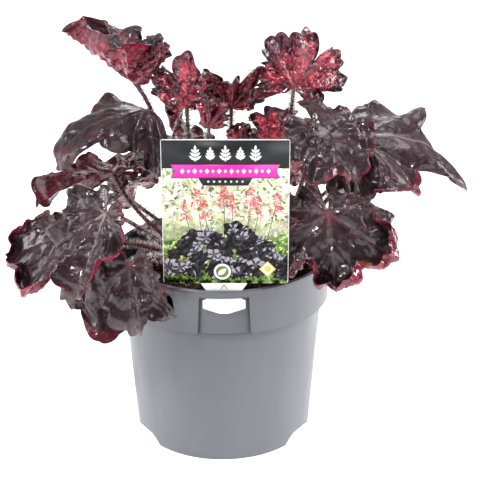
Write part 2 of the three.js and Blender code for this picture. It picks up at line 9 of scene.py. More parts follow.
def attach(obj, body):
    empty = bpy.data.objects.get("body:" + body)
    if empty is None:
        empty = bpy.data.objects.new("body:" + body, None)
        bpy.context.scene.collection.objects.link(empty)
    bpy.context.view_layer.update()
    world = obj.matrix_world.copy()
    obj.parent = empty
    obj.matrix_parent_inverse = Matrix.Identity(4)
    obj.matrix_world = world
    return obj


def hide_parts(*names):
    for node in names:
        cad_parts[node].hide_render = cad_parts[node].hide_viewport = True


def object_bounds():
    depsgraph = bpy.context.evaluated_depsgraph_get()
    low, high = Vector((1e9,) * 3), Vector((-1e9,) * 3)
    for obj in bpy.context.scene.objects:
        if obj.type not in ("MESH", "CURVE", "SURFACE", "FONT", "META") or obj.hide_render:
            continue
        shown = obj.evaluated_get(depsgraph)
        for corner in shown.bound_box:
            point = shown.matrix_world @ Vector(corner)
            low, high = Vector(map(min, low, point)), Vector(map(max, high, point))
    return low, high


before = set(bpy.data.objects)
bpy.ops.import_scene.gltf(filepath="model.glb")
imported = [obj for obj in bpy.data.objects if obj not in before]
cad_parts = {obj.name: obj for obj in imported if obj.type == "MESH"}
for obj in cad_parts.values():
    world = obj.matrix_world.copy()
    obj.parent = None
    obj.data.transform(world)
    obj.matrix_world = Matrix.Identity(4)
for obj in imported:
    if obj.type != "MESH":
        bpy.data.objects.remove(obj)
CAD_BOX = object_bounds()
CAD_LOW, CAD_HIGH = (np.array(corner) for corner in CAD_BOX)

MM = 0.001
TURN = 2 * math.pi
POT_AT = np.array([-5.0, -12.8, 0.0])  # the pot's axis on the ground

# ---------------------------------------------------------------- dimensions, mm, as in the CAD source
POT_HEIGHT, POT_WALL, FLOOR_Z, FLOOR_THICKNESS = 150, 1.3, 18, 2
BASE_RADIUS, WALL_RADIUS, COLLAR_Z, COLLAR_RADIUS, RIM_RADIUS = 70, 78.4, 113.4, 83.4, 85
LIP_HEIGHT, LIP_WIDTH = 3.6, 3.4
NOTCH = [(12, 0), (20, 3.7), (28, 6.8), (38, 8.2), (43, 7.8), (46.5, 4.6), (49.5, 0)]  # (y, z), between feet
DRAIN = dict(holes=8, ring=46, radius=5)
TONGUE_X = 2.1
RECESS = dict(top_half=18, bottom_half=19.3, open_z=112, panel_z=113.6, top_z=144.2, radius=80.5)
RECESS_SLOPE = (RECESS["bottom_half"] - RECESS["top_half"]) / (RECESS["top_z"] - RECESS["open_z"])
LABEL = dict(half=45, bottom=156, top=264.4, thickness=0.8, y=-81.9, aside=1.4, corner=1.5, shoulder=17,
             neck=13, head=15.6, head_top=143.4, head_side=135.9, head_tip=131.5, head_tip_half=3.3)
CROWN = dict(z=133, radius=25, height=21, depth=15, foot=12)
SOIL_Z = 135

LOBES, LOBE_STEP = 7, math.radians(50)
MIDRIB, PAST_LAST = 3, 1 / 3  # q is 0 on the first lobe, 3 on the midrib, 6 on the last, and goes 1/3 beyond
ROUND_HUB, CURL_FROM, SOCKET_DEPTH = 0.3, 0.72, 3.5
TIERS = [(68, 58), (43, 36), (17, 14)]  # socket's polar angle, petiole's first lean
BLADE_THICKNESS, HAIR_RADIUS = 0.5, 0.12

# What each kind of leaf has in common. From teeth on it is the fine form that the CAD leaves out.
# hairs: how many a mm of petiole, shortest, longest.
MATURE = dict(notch=0.2, cleft=1.7, deepening=2.0, ruffle=24, waves=1.15, pleat=5, petiole=1.7,
              teeth=4, fine_tooth=0.05, fine_notch=0.03, ripple=13, ripples=2.3, flutter=14, puff=0.9,
              groove=0.4, cell=11, cell_height=1.7, swell=2.6, crinkle=0.26, knob=0.8, roll_under=0.9,
              rings=42, around=250, hairs=(7, 1.8, 3.9))
YOUNG = dict(notch=0.4, cleft=1.7, deepening=0.7, ruffle=26, waves=1.3, pleat=12, petiole=1.45,
             teeth=3, fine_tooth=0.11, fine_notch=0.10, ripple=18, ripples=2.1, flutter=22, puff=1.2,
             groove=0.25, cell=5.6, cell_height=2.2, swell=1.6, crinkle=0.15, knob=2.2, roll_under=2.2,
             rings=38, around=230, hairs=(12, 2.4, 4.8))
BUD = dict(YOUNG, notch=0.38, cleft=1.6, waves=0.8, pleat=16, petiole=1.2,
           fine_tooth=0.10, ripple=16, ripples=1.9, flutter=18, puff=0.8,
           groove=0.2, cell=4.6, cell_height=1.7, swell=1.0, knob=1.5, roll_under=1.4,
           rings=28, around=160, hairs=(12, 1.8, 3.6))
KINDS = {"leaf": MATURE, "young": YOUNG, "bud": BUD}
# What every leaf has unless its own line says otherwise. lengths, rise, droop, curl and fold go lobe by lobe:
# one value for all, four that the other side mirrors, or all seven. The last four bend the blade, in degrees:
# near the hub, all the way, past CURL_FROM and at the margin, where it rolls over and shows its underside.
COMMON = dict(lengths=(0.6, 0.72, 0.88, 1), rise=(10, 10, 5, 0), droop=-30, curl=(0, 20, 0, 0), fold=0,
              spread=1, strand=0, tier=0, arrive=70, roll=0, blotches=(), veined=0.5, rim=0.22, rim_even=0,
              warm=0.06, eye=0.035, under_dark=0.05)


def plan(name, hub, heading, pitch, length, **own):
    """One leaf. hub: where petiole and blade meet. heading, pitch, roll: its midrib's way, in degrees.
    root, tier: its socket on the crown. arrive: the angle from petiole to blade."""
    kind = name.split("_")[0]
    placed = dict(name=name, kind=kind, hub=hub, heading=heading, pitch=pitch, length=length)
    return {**COMMON, **KINDS[kind], **own, **placed}


LEAVES = [
    plan("leaf_a", (-66, 8, 282), 189, 32, 66, root=155, phase=0.25, tier=1, arrive=22,
         lengths=(0.6, 0.7, 0.8, 1, 0.8, 0.72, 0.6), rise=(88, 70, 40, 12, 50, 70, 88),
         droop=(10, 5, 10, 0, 10, 5, 5), curl=(0, -40, 10, 10, -30, 0, 10), rim=0.5, rim_even=0.5,
         ripple=24, ripples=2.6, flutter=20, cell=5.6, cell_height=2.6, crinkle=0.3, warm=0.5),
    plan("young_b", (-26, -5.5, 268), 272, 78, 42, root=175, phase=0.2, tier=2, arrive=25, spread=0.86,
         lengths=(0.5, 0.78, 0.88, 1, 0.7, 0.5, 0.36), rise=(35, 30, 20, 5), droop=(10, 10, 10, 0),
         curl=(0, 18, 0, 24), ruffle=23.4, pleat=3.6),
    plan("bud_b", (-37, 22, 238), 200, 62, 30, root=112, phase=0.45, tier=1, arrive=50, spread=0.9,
         rise=(45, 40, 30, 20), droop=(10, 10, 0, 0), curl=(0, 0, 0, -30)),
    plan("young_c", (7, 22, 258), 268, 74, 37, root=70, phase=-0.05, tier=2, arrive=30, spread=0.68,
         lengths=(0.5, 0.8, 1.02, 0.82, 1.08, 0.85, 0.5), rise=(20, 15, 5, 0), droop=(10, 10, 10, 0),
         curl=(16, -16, 16, -16), ruffle=20.8, pleat=8.4),
    plan("young_d", (54, 0, 279), 315, 70, 52, root=350, phase=0.2, tier=1, arrive=45, spread=0.8, roll=-40,
         lengths=(0.62, 0.6, 0.9, 0.95, 0.86, 0.9, 0.5), rise=(20, 20, 10, 0), droop=10,
         curl=(9, 12, 12, 15), ruffle=23.4, pleat=3.6, notch=0.34),
    plan("bud_e", (-9.4, -13.5, 253.2), 250, 80, 26, root=215, phase=0.3, tier=2, arrive=20, spread=0.7,
         rise=(50, 45, 30, 10), droop=(10, 10, 0, 0), curl=0),
    plan("bud_g", (13.8, -6.5, 239), 290, 80, 18, root=300, phase=0.3, tier=2, arrive=20, spread=0.7,
         rise=(50, 45, 30, 10), droop=(10, 10, 0, 0), curl=0),
    plan("young_f", (40.3, -5, 240), 280, 75, 32, root=330, phase=0.8, tier=1, arrive=35, spread=0.85,
         rise=(40, 35, 20, 0), droop=(10, 10, 10, 0), curl=(0, 16, 0, 16), ruffle=20.8, pleat=8.4),
    plan("leaf_g", (-56, -9, 265), 190, 2, 88, root=196, phase=0.15, tier=1, arrive=75, notch=0.25,
         lengths=(0.2, 0.3, 0.62, 1, 0.42, 0.66, 0.5), rise=(-50, -40, 5, 0, -40, -60, -60),
         droop=(0, -10, -20, -50, -30, -20, -20), curl=(0, 0, 0, -20),
         cell_height=1.1, crinkle=0.12, warm=0.2),
    plan("leaf_h", (-85, 14, 208), 187, -3, 68, root=172, phase=0.5, arrive=75, roll=35,
         lengths=(0.3, 0.4, 0.6, 1, 0.6, 0.5, 0.4), rise=0, droop=(-20, -20, -20, -20, -10, 0, 0),
         curl=(0, 0, 0, 0, 20, 20, 0), fold=(0, 0, 0, 0, 30, 30, 0), veined=0.6, under_dark=0.7),
    plan("leaf_i", (-84, -60, 201), 232, -52, 66, root=218, phase=0.25,
         lengths=(0.38, 0.6, 0.86, 1, 0.55, 0.3, 0.22), rise=(25, 15, 10, 5, 0, 10, 15), droop=-20,
         curl=(0, 20, 0, 10, 70, 60, 0), fold=(0, 0, 0, 0, 70, 90, 0), cell=9, cell_height=1.8, crinkle=0.2,
         rim=0.5),
    plan("leaf_j", (-125, -13, 165), 222, -45, 66, root=188, phase=0.65, roll=-10,
         lengths=(0.35, 0.5, 0.9, 1, 0.48, 0.38, 0.3), droop=-20, curl=(0, 40, 70, 80, 30, 0, 0),
         fold=(0, 30, 80, 90, 30, 0, 0), rim=0.6, rim_even=0.3),
    plan("leaf_k", (-97, -56, 170), 300, -72, 72, root=204, phase=0.9, spread=0.9, roll=45,
         lengths=(0.3, 0.42, 0.66, 1, 0.62, 0.35, 0.25), rise=(-15, -15, -10, 0, 0, 0, 0),
         droop=(-15, -15, -10, -10, 0, 0, 0), curl=(0, 0, 0, 20), fold=(0, 0, 0, 40), warm=0.2),
    plan("leaf_l", (-66, -79, 169), 262, -70, 54, root=236, phase=0.35, spread=0.9, roll=18,
         lengths=(0.3, 0.42, 0.72, 1, 0.95, 0.38, 0.3), rise=(-5, -5, 0, 0, 0, 5, 10),
         droop=(-10, -10, -10, -15), curl=0, veined=0.4, swell=3.6, puff=0.6),
    plan("leaf_m", (72, -38, 256), 318, -24, 47, root=325, phase=0.45, arrive=75, roll=18, notch=0.12,
         lengths=(0.62, 0.76, 0.92, 1, 0.9, 0.85, 0.75), rise=(20, 15, 5, 5), droop=(-40, -40, -30, -30),
         curl=(30, 60, 20, 0, 30, 30, 30), rim=1.0, rim_even=0.9, veined=0.3, cell=12, cell_height=3.6,
         crinkle=0.3, ripple=6, puff=0.2, groove=0.2, swell=3.5),
    plan("leaf_n", (100, -8, 244), 355, 12, 108, root=352, phase=0.05, arrive=75, notch=0.22, strand=0.24,
         lengths=(0.46, 0.6, 0.68, 0.74, 0.66, 0.6, 0.4), rise=(-40, -40, -25, 8, 15, 20, 20),
         droop=(-30, -30, -40, -75, -40, -10, 0), curl=(0, 20, 0, 0, 0, 10, 0), fold=(0, 0, 80, 0, 0, 0, 0),
         veined=2.2, cell_height=0.5, crinkle=0.03, swell=2.0),
    plan("leaf_o", (77, -65, 204), 285, -65, 70, root=306, phase=0.55, roll=15,
         lengths=(0.38, 0.55, 0.7, 0.97, 1, 0.42, 0.28), rise=(10, 5, 0, 0),
         droop=(-10, -10, -10, -10, -20, -10, -10), curl=(20, 0, 30, 80, 80, 20, 0),
         fold=(0, 0, 20, 90, 90, 20, 0), veined=0.8, eye=0.10, warm=0.2, swell=4.0, cell=15, cell_height=4.2,
         puff=1.6, blotches=[(3.6, 0.72, 5.5)]),
    plan("bud_p", (42, -58, 164), 300, -5, 22, root=286, phase=0.8, arrive=80, rise=(10, 5, 0, 0), droop=-20,
         curl=0),
    plan("leaf_q", (54, 48, 240), 60, -10, 50, root=30, phase=0.6, tier=1, droop=-20, curl=0),
    plan("leaf_r", (92, 40, 190), 12, -32, 60, root=22, phase=0.7),
    plan("leaf_s", (50, 86, 205), 68, -30, 58, root=56, phase=0.2),
    plan("leaf_t", (-2, 92, 172), 95, -45, 62, root=86, phase=0.9),
    plan("leaf_u", (-46, 82, 212), 125, -25, 58, root=116, phase=0.5),
    plan("leaf_w", (4, 49, 205), 82, 4, 43, root=95, phase=0.35, tier=1, arrive=75, rise=(20, 15, 10, 5)),
    plan("leaf_v", (-86, 66, 174), 150, -38, 62, root=148, phase=0.4),
]


# ---------------------------------------------------------------- small tools
def swung(azimuth, out, up):
    """The point or way that lies so far out from the axis in a direction, and so far up."""
    return np.array([out * math.cos(azimuth), out * math.sin(azimuth), up])


def smoothstep(x, low=0.0, high=1.0):
    t = np.clip((np.asarray(x, float) - low) / (high - low), 0, 1)
    return t * t * (3 - 2 * t)


def hashed(cell, seed):
    """A number from 0 to 1 for each row of whole numbers."""
    n = np.full(cell.shape[0], seed * 1013904223 + 12345, np.int64)
    for k, prime in zip(range(cell.shape[1]), (374761393, 668265263, 1274126177)):
        n = (n + cell[:, k].astype(np.int64) * prime) & 0xFFFFFFFF
        n = ((n ^ (n >> 13)) * 1103515245) & 0xFFFFFFFF
    return ((n ^ (n >> 16)) & 0xFFFFFF) / float(0xFFFFFF)


def soft_noise(points, seed=0):
    """Smooth noise from -1 to 1, with a wavelength of about 2."""
    base = np.floor(points).astype(np.int64)
    f = smoothstep(points - base)
    total = np.zeros(len(points))
    dims = points.shape[1]
    for corner in range(2 ** dims):
        bits = np.array([(corner >> k) & 1 for k in range(dims)])
        total += np.prod(np.where(bits, f, 1 - f), axis=1) * hashed(base + bits, seed)
    return total * 2 - 1


def cells(points, seed=0):
    """Distance to the nearest of one scattered point per unit cell, and that cell's own number."""
    base = np.floor(points).astype(np.int64)
    best, own = np.full(len(points), 9.0), np.zeros(len(points))
    for i in (-1, 0, 1):
        for j in (-1, 0, 1):
            cell = base + [i, j]
            seat = cell + 0.15 + 0.7 * np.stack([hashed(cell, seed), hashed(cell, seed + 7)], 1)
            d = np.linalg.norm(points - seat, axis=1)
            closer = d < best
            best[closer] = d[closer]
            own[closer] = hashed(cell[closer], seed + 13)
    return best, own


def segment_distance(points, starts, ends):
    """Distance from each 2-D point to the nearest of the segments."""
    best = np.full(len(points), 1e9)
    for a, ab in zip(starts, ends - starts):
        t = np.clip((points - a) @ ab / max((ab ** 2).sum(), 1e-9), 0, 1)
        best = np.minimum(best, np.linalg.norm(points - a - t[:, None] * ab, axis=1))
    return best


def add_object(name, data):
    made = bpy.data.objects.new(name, data)
    bpy.context.scene.collection.objects.link(made)
    return made


def mesh_object(name, points, faces, materials, face_material=None, attributes=None, sharp=None):
    """A mesh piece from points in mm about the pot's axis, on CAD body root."""
    mesh = bpy.data.meshes.new(name)
    at = np.clip((np.asarray(points, float) + POT_AT) * MM, CAD_LOW, CAD_HIGH)
    mesh.from_pydata(at.tolist(), [], [list(f) for f in faces])
    for m in materials:
        mesh.materials.append(m)
    if face_material is not None:
        mesh.polygons.foreach_set("material_index", np.asarray(face_material, np.int32))
    mesh.polygons.foreach_set("use_smooth", np.ones(len(mesh.polygons), bool))
    for key, values in (attributes or {}).items():
        mesh.attributes.new(key, "FLOAT", "POINT").data.foreach_set("value", np.asarray(values, np.float32))
    mesh.update()
    if sharp is not None:
        mesh.set_sharp_from_angle(angle=math.radians(sharp))
    piece = add_object(name, mesh)
    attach(piece, "root")
    return piece


class Parts:
    """Collects points, faces, material numbers and attributes of several closed shells for one mesh."""

    def __init__(self, *keys):
        self.points, self.faces, self.slots, self.count = [], [], [], 0
        self.values = {key: [] for key in keys}

    def add(self, points, faces, slot=0, **values):
        self.points.append(np.asarray(points, float))
        self.faces.extend([tuple(i + self.count for i in f) for f in faces])
        self.slots.extend([slot] * len(faces) if np.isscalar(slot) else list(slot))
        for key, kept in self.values.items():
            kept.append(np.broadcast_to(np.asarray(values.get(key, 0.0), float), (len(points),)))
        self.count += len(points)

    def make(self, name, materials, sharp=None):
        return mesh_object(name, np.concatenate(self.points), self.faces, materials, self.slots,
                           {k: np.concatenate(v) for k, v in self.values.items()}, sharp)


# ---------------------------------------------------------------- nodes
def feed(made, inputs):
    """Sets or links a node's inputs, as {name or number: value or another node's output}."""
    for key, value in dict(inputs).items():
        socket = made.inputs[key]
        if isinstance(value, bpy.types.NodeSocket):
            socket.id_data.links.new(value, socket)
        else:
            socket.default_value = value


def node(tree, kind, inputs=(), **settings):
    made = tree.nodes.new(kind)
    for key, value in settings.items():
        setattr(made, key, value)
    feed(made, inputs)
    return made


def coords(tree):
    return node(tree, "ShaderNodeTexCoord").outputs["Object"]


def noise(tree, scale, detail=3.0, roughness=0.5, at=None):
    return node(tree, "ShaderNodeTexNoise", {"Vector": at or coords(tree), "Scale": scale, "Detail": detail,
                                             "Roughness": roughness}).outputs["Fac"]


def bent_cells(tree, at, warp_scale, warp, scale):
    """Voronoi cells that a noise bends a little, so that they look grown."""
    cloud = node(tree, "ShaderNodeTexNoise", {"Vector": at, "Scale": warp_scale, "Detail": 2.0})
    bent = node(tree, "ShaderNodeMix", {0: warp, 4: at, 5: cloud.outputs["Color"]}, data_type="VECTOR")
    made = node(tree, "ShaderNodeTexVoronoi", {"Vector": bent.outputs[1], "Scale": scale}, feature="F1")
    return made.outputs


def ramp(tree, factor, *stops):
    """Colours or greys by a factor, from (place, colour or grey) stops."""
    made = node(tree, "ShaderNodeValToRGB", {"Fac": factor})
    for spare in list(made.color_ramp.elements)[1:]:
        made.color_ramp.elements.remove(spare)
    made.color_ramp.elements[0].position = stops[0][0]
    for k, (place, colour) in enumerate(stops):
        stop = made.color_ramp.elements[0] if k == 0 else made.color_ramp.elements.new(place)
        stop.color = (*((colour,) * 3 if np.isscalar(colour) else colour), 1)
    return made.outputs["Color"]


def remap(tree, value, low, high, to_low=0.0, to_high=1.0, curve="LINEAR"):
    limits = {"From Min": low, "From Max": high, "To Min": to_low, "To Max": to_high}
    return node(tree, "ShaderNodeMapRange", {"Value": value, **limits}, interpolation_type=curve).outputs[0]


def mix(tree, factor, first, second, blend="MIX"):
    first, second = ((*c, 1) if isinstance(c, tuple) else c for c in (first, second))
    made = node(tree, "ShaderNodeMix", {0: factor, 6: first, 7: second}, data_type="RGBA", blend_type=blend)
    return made.outputs[2]


def maths(tree, operation, *values):
    return node(tree, "ShaderNodeMath", dict(enumerate(values)), operation=operation).outputs[0]


def times(tree, first, *others):
    for other in others:
        first = maths(tree, "MULTIPLY", first, other)
    return first


def attribute(tree, name):
    return node(tree, "ShaderNodeAttribute", attribute_name=name).outputs["Fac"]


def bump(tree, shader, height, strength, distance, normal=None):
    made = node(tree, "ShaderNodeBump", {"Height": height, "Strength": strength, "Distance": distance})
    if normal:
        feed(made, {"Normal": normal})
    if shader:
        feed(shader, {"Normal": made.outputs[0]})
    return made.outputs[0]


# ---------------------------------------------------------------- materials
def material(name, roughness=0.5, specular=0.5, coat=0.0, coat_roughness=0.1):
    made = bpy.data.materials.new(name)
    made.use_nodes = True
    shader = made.node_tree.nodes["Principled BSDF"]
    feed(shader, {"Roughness": roughness, "Specular IOR Level": specular, "Coat Weight": coat,
                  "Coat Roughness": coat_roughness})
    return made, made.node_tree, shader


def mottled(name, finish, grain, stops, relief=None, **inputs):
    """A material coloured by one noise. finish: roughness, specular, coat. grain: the noise's scale, detail
    and roughness. relief: a second noise's scale and detail, then the bump's strength and distance."""
    made, tree, shader = material(name, *finish)
    feed(shader, {"Base Color": ramp(tree, noise(tree, *grain), *stops), **inputs})
    if relief:
        bump(tree, shader, noise(tree, *relief[:2]), *relief[2:])
    return made


def leaf_material(name, deep, light, flush, vein, roughness, coat, crinkle, tint, specular, veining=0.6):
    """Living leaf: deep and light patches, flush where the mesh says so, paler veins, fine crinkle, and a
    painted highlight on each bubble's crown with painted shade in the valleys between.
    """
    made, tree, shader = material(name, roughness, specular, coat)
    brown_spot = (0.30, 0.13, 0.02)
    base = mix(tree, ramp(tree, noise(tree, 45, 4), (0.34, 0), (0.58, 1)), deep, light)
    base = mix(tree, attribute(tree, "flush"), base, flush)
    base = mix(tree, times(tree, attribute(tree, "vein"), veining), base, vein)
    base = mix(tree, attribute(tree, "blotch"), base, brown_spot)
    away = bent_cells(tree, coords(tree), 160, 0.006, 210)["Distance"]
    pucker = times(tree, away, away)
    specks = ramp(tree, noise(tree, 620, 3), (0.36, 0.80), (0.64, 1.16))
    # Painted highlight on each bubble's crown and painted shade in the valleys between bubbles.
    painted_bubble_light = ramp(tree, pucker, (0.02, 1.0 + 0.35 * crinkle), (0.40, 1.0 - 0.5 * crinkle))
    base = mix(tree, 1.0, mix(tree, 1.0, base, specks, "MULTIPLY"), painted_bubble_light, "MULTIPLY")
    gloss = remap(tree, noise(tree, 95, 4), 0.36, 0.64, max(0.12, roughness - 0.1), roughness + 0.14)
    wet = ramp(tree, noise(tree, 38, 2), (0.42, coat ** 2), (0.58, min(1.0, 1.5 * coat)))  # in patches
    feed(shader, {"Base Color": base, "Roughness": gloss, "Coat Weight": wet, "Specular Tint": (*tint, 1),
                  "Coat Tint": (*tint, 1)})
    blisters = bump(tree, None, pucker, crinkle, -0.0036)
    wrinkles = bump(tree, None, noise(tree, 330, 3), 0.3 * crinkle, 0.0012, blisters)
    bump(tree, shader, noise(tree, 1700, 2), 0.3, 0.0002, wrinkles)
    return made


def pot_material():
    """Satin grey plastic, dusty near the ground, with a painted shadow under the collar, painted shade lines
    at the collar's lower edge and beside the recess, and painted light that makes it lighter towards the
    ground.
    """
    made, tree, shader = material("pot_plastic")
    flow = node(tree, "ShaderNodeMapping", {"Vector": coords(tree), "Scale": (1, 1, 0.25)}).outputs[0]
    place = node(tree, "ShaderNodeSeparateXYZ", {0: coords(tree)}).outputs
    height = place["Z"]

    def above(value, limit):
        return maths(tree, "GREATER_THAN", value, limit * MM)

    def below(value, limit):
        return maths(tree, "LESS_THAN", value, limit * MM)

    def painted_shade_line(value, at, wide):
        """A painted shade line: 1 where a value is met, easing to 0 at a distance."""
        off = maths(tree, "ABSOLUTE", maths(tree, "SUBTRACT", value, at * MM))
        return remap(tree, off, 0.0, wide * MM, 1.0, 0.0, "SMOOTHSTEP")

    grey = ramp(tree, noise(tree, 22, 3, at=flow), (0.3, (0.108, 0.114, 0.134)), (0.7, (0.125, 0.132, 0.153)))
    dust = ramp(tree, noise(tree, 480, 5, 0.7), (0.60, 0), (0.78, 0.3))
    base = mix(tree, times(tree, dust, remap(tree, height, 0.0, 0.05, 0.8, 0.2)), grey, (0.32, 0.32, 0.32))

    # Painted shadow under the collar's overhang, darkest just below its edge.
    shade = remap(tree, height, (COLLAR_Z - 9) * MM, COLLAR_Z * MM, 0.0, 0.30, "SMOOTHSTEP")
    shade = times(tree, shade, below(height, COLLAR_Z + 0.3))
    off_middle = maths(tree, "ABSOLUTE", maths(tree, "SUBTRACT", place["X"], (TONGUE_X + POT_AT[0]) * MM))
    widened = maths(tree, "ADD", off_middle, times(tree, height, RECESS_SLOPE))  # the same all down a side
    side_at = RECESS["bottom_half"] + RECESS_SLOPE * RECESS["open_z"]
    front = below(place["Y"], -50)
    tall = times(tree, above(height, COLLAR_Z - 0.1), below(height, RECESS["top_z"] + 0.4))
    # Painted shade lines down the recess's sides and along the collar's lower edge, weaker inside the recess.
    sides = times(tree, painted_shade_line(widened, side_at + 0.1, 0.6), front, tall)
    inside = times(tree, below(widened, side_at - 0.6), front, above(height, COLLAR_Z + 1.2))
    outside = maths(tree, "SUBTRACT", 1.0, times(tree, inside, 0.5))
    collar_edge_shade = times(tree, painted_shade_line(height, COLLAR_Z + 0.55, 0.7), outside)
    # Painted shade: the lines and the shadow under the collar turn the grey near black.
    dark = times(tree, maths(tree, "MAXIMUM", collar_edge_shade, sides), 0.88)
    base = mix(tree, maths(tree, "MAXIMUM", dark, shade), base, (0.022, 0.024, 0.028))
    # Painted light: the grey is lighter towards the ground and darker up at the collar.
    base = mix(tree, 1.0, base, remap(tree, height, 0.0, 0.116, 1.14, 0.84), "MULTIPLY")
    gloss = ramp(tree, noise(tree, 60, 4, at=flow), (0.35, 0.30), (0.7, 0.44))
    feed(shader, {"Base Color": base, "Roughness": gloss})
    grain = bump(tree, None, noise(tree, 2600, 2), 0.12, 0.00015)
    bump(tree, shader, noise(tree, 30, 2, at=flow), 0.10, 0.002, grain)
    return made


def ink(name, colour, vary=0.12):
    """Print on the card: a flat colour with the faint mottle and grain of ink."""
    made, tree, shader = material(name, 0.42, 0.2, 0.02, 0.3)
    grain = ramp(tree, noise(tree, 1400, 3), (0.35, 1 - vary), (0.65, 1 + vary))
    feed(shader, {"Base Color": mix(tree, 1.0, colour, grain, "MULTIPLY")})
    bump(tree, shader, noise(tree, 2500, 2), 0.05, 0.0001)
    return made


def border_ink():
    """Print of a sunlit flower bed out of focus: small pale dabs above, greens below."""
    made, tree, shader = material("ink_border", 0.3, 0.35, 0.06, 0.2)
    at = node(tree, "ShaderNodeMapping", {"Vector": coords(tree), "Scale": (1, 0.001, 1)}).outputs[0]
    dabs = bent_cells(tree, at, 120, 0.010, 560)["Color"]
    pick = node(tree, "ShaderNodeSeparateColor", {0: dabs}).outputs[0]
    cream = ramp(tree, pick, (0.0, (0.74, 0.73, 0.42)), (0.26, (0.90, 0.88, 0.74)), (0.46, (0.42, 0.5, 0.16)),
                 (0.62, (0.88, 0.66, 0.62)), (0.74, (0.92, 0.91, 0.84)), (0.90, (0.14, 0.18, 0.07)))
    green = ramp(tree, pick, (0.0, (0.06, 0.14, 0.02)), (0.35, (0.2, 0.34, 0.06)), (0.6, (0.03, 0.06, 0.015)),
                 (0.8, (0.45, 0.58, 0.20)), (0.95, (0.75, 0.80, 0.50)))
    height = node(tree, "ShaderNodeSeparateXYZ", {0: coords(tree)}).outputs["Z"]
    edge = maths(tree, "ADD", height, times(tree, noise(tree, 70, 3), 0.03))
    base = mix(tree, remap(tree, edge, 0.206, 0.222), green, cream)
    shade = ramp(tree, noise(tree, 150, 4, at=at), (0.35, 0.55), (0.6, 1.05))
    feed(shader, {"Base Color": mix(tree, 1.0, base, shade, "MULTIPLY")})
    return made


M_UPPER = leaf_material(
    "leaf_upper", deep=(0.0110, 0.0055, 0.0075), light=(0.032, 0.0180, 0.0215), flush=(0.17, 0.010, 0.026),
    vein=(0.17, 0.13, 0.13), roughness=0.34, coat=0.42, crinkle=0.25, tint=(1.0, 0.87, 0.95), specular=0.3)
M_UNDER = leaf_material(
    "leaf_under", deep=(0.10, 0.004, 0.018), light=(0.30, 0.014, 0.050), flush=(0.040, 0.008, 0.012),
    vein=(0.46, 0.10, 0.14), roughness=0.24, coat=0.65, crinkle=0.6, tint=(1.0, 0.88, 0.92), specular=0.3)
WET = dict(coat=1.0, crinkle=0.9, tint=(1.0, 0.90, 0.94), specular=0.6, veining=0.25)
M_YOUNG = leaf_material(
    "young_upper", deep=(0.11, 0.002, 0.015), light=(0.72, 0.050, 0.090), flush=(0.050, 0.020, 0.034),
    vein=(0.66, 0.19, 0.18), roughness=0.13, **WET)
M_YOUNG_UNDER = leaf_material(
    "young_under", deep=(0.12, 0.003, 0.018), light=(0.60, 0.040, 0.080), flush=(0.056, 0.018, 0.030),
    vein=(0.55, 0.14, 0.15), roughness=0.15, **WET)
M_PETIOLE = mottled(
    "petiole", (0.42, 0.5, 0.1), (60, 3),
    [(0.3, (0.042, 0.006, 0.011)), (0.55, (0.11, 0.012, 0.020)), (0.75, (0.20, 0.035, 0.038))],
    (900, 2, 0.4, 0.0003))
M_CROWN = mottled(
    "crown_bark", (0.8, 0.3), (170, 4),
    [(0.3, (0.035, 0.014, 0.010)), (0.55, (0.10, 0.035, 0.022)), (0.75, (0.20, 0.09, 0.05))],
    (600, 4, 0.7, 0.0008))
M_POT = pot_material()
M_HAIR, M_YOUNG_HAIR = (
    mottled(name, (0.5, 0.4), (260, 2), [(0.38, dull), (0.62, bright)])
    for name, dull, bright in (("hair", (0.78, 0.73, 0.71), (0.92, 0.89, 0.87)),
                               ("hair_young", (0.24, 0.21, 0.18), (0.86, 0.82, 0.79))))
M_SOIL, M_BARK, M_GRIT = (
    mottled(name, (0.92, 0.2), (330, 5, 0.65), [(0.35, dark), (0.6, light)], (1300, 4, 0.9, 0.0008))
    for name, dark, light in (("compost", (0.006, 0.004, 0.003), (0.030, 0.017, 0.010)),
                              ("bark_bits", (0.035, 0.018, 0.010), (0.13, 0.07, 0.04)),
                              ("grit", (0.45, 0.43, 0.40), (0.70, 0.68, 0.64))))


# ---------------------------------------------------------------- leaves
def along(values, q):
    """A value for each q, eased from one lobe's to the next one's. values: see COMMON."""
    values = np.atleast_1d(np.asarray(values, float))
    if len(values) == 1:
        values = np.repeat(values, LOBES)
    elif len(values) < LOBES:
        values = np.concatenate([values, values[-2::-1]])
    i = np.clip(np.floor(q).astype(int), 0, LOBES - 2)
    return values[i] + (values[i + 1] - values[i]) * smoothstep(q - i)


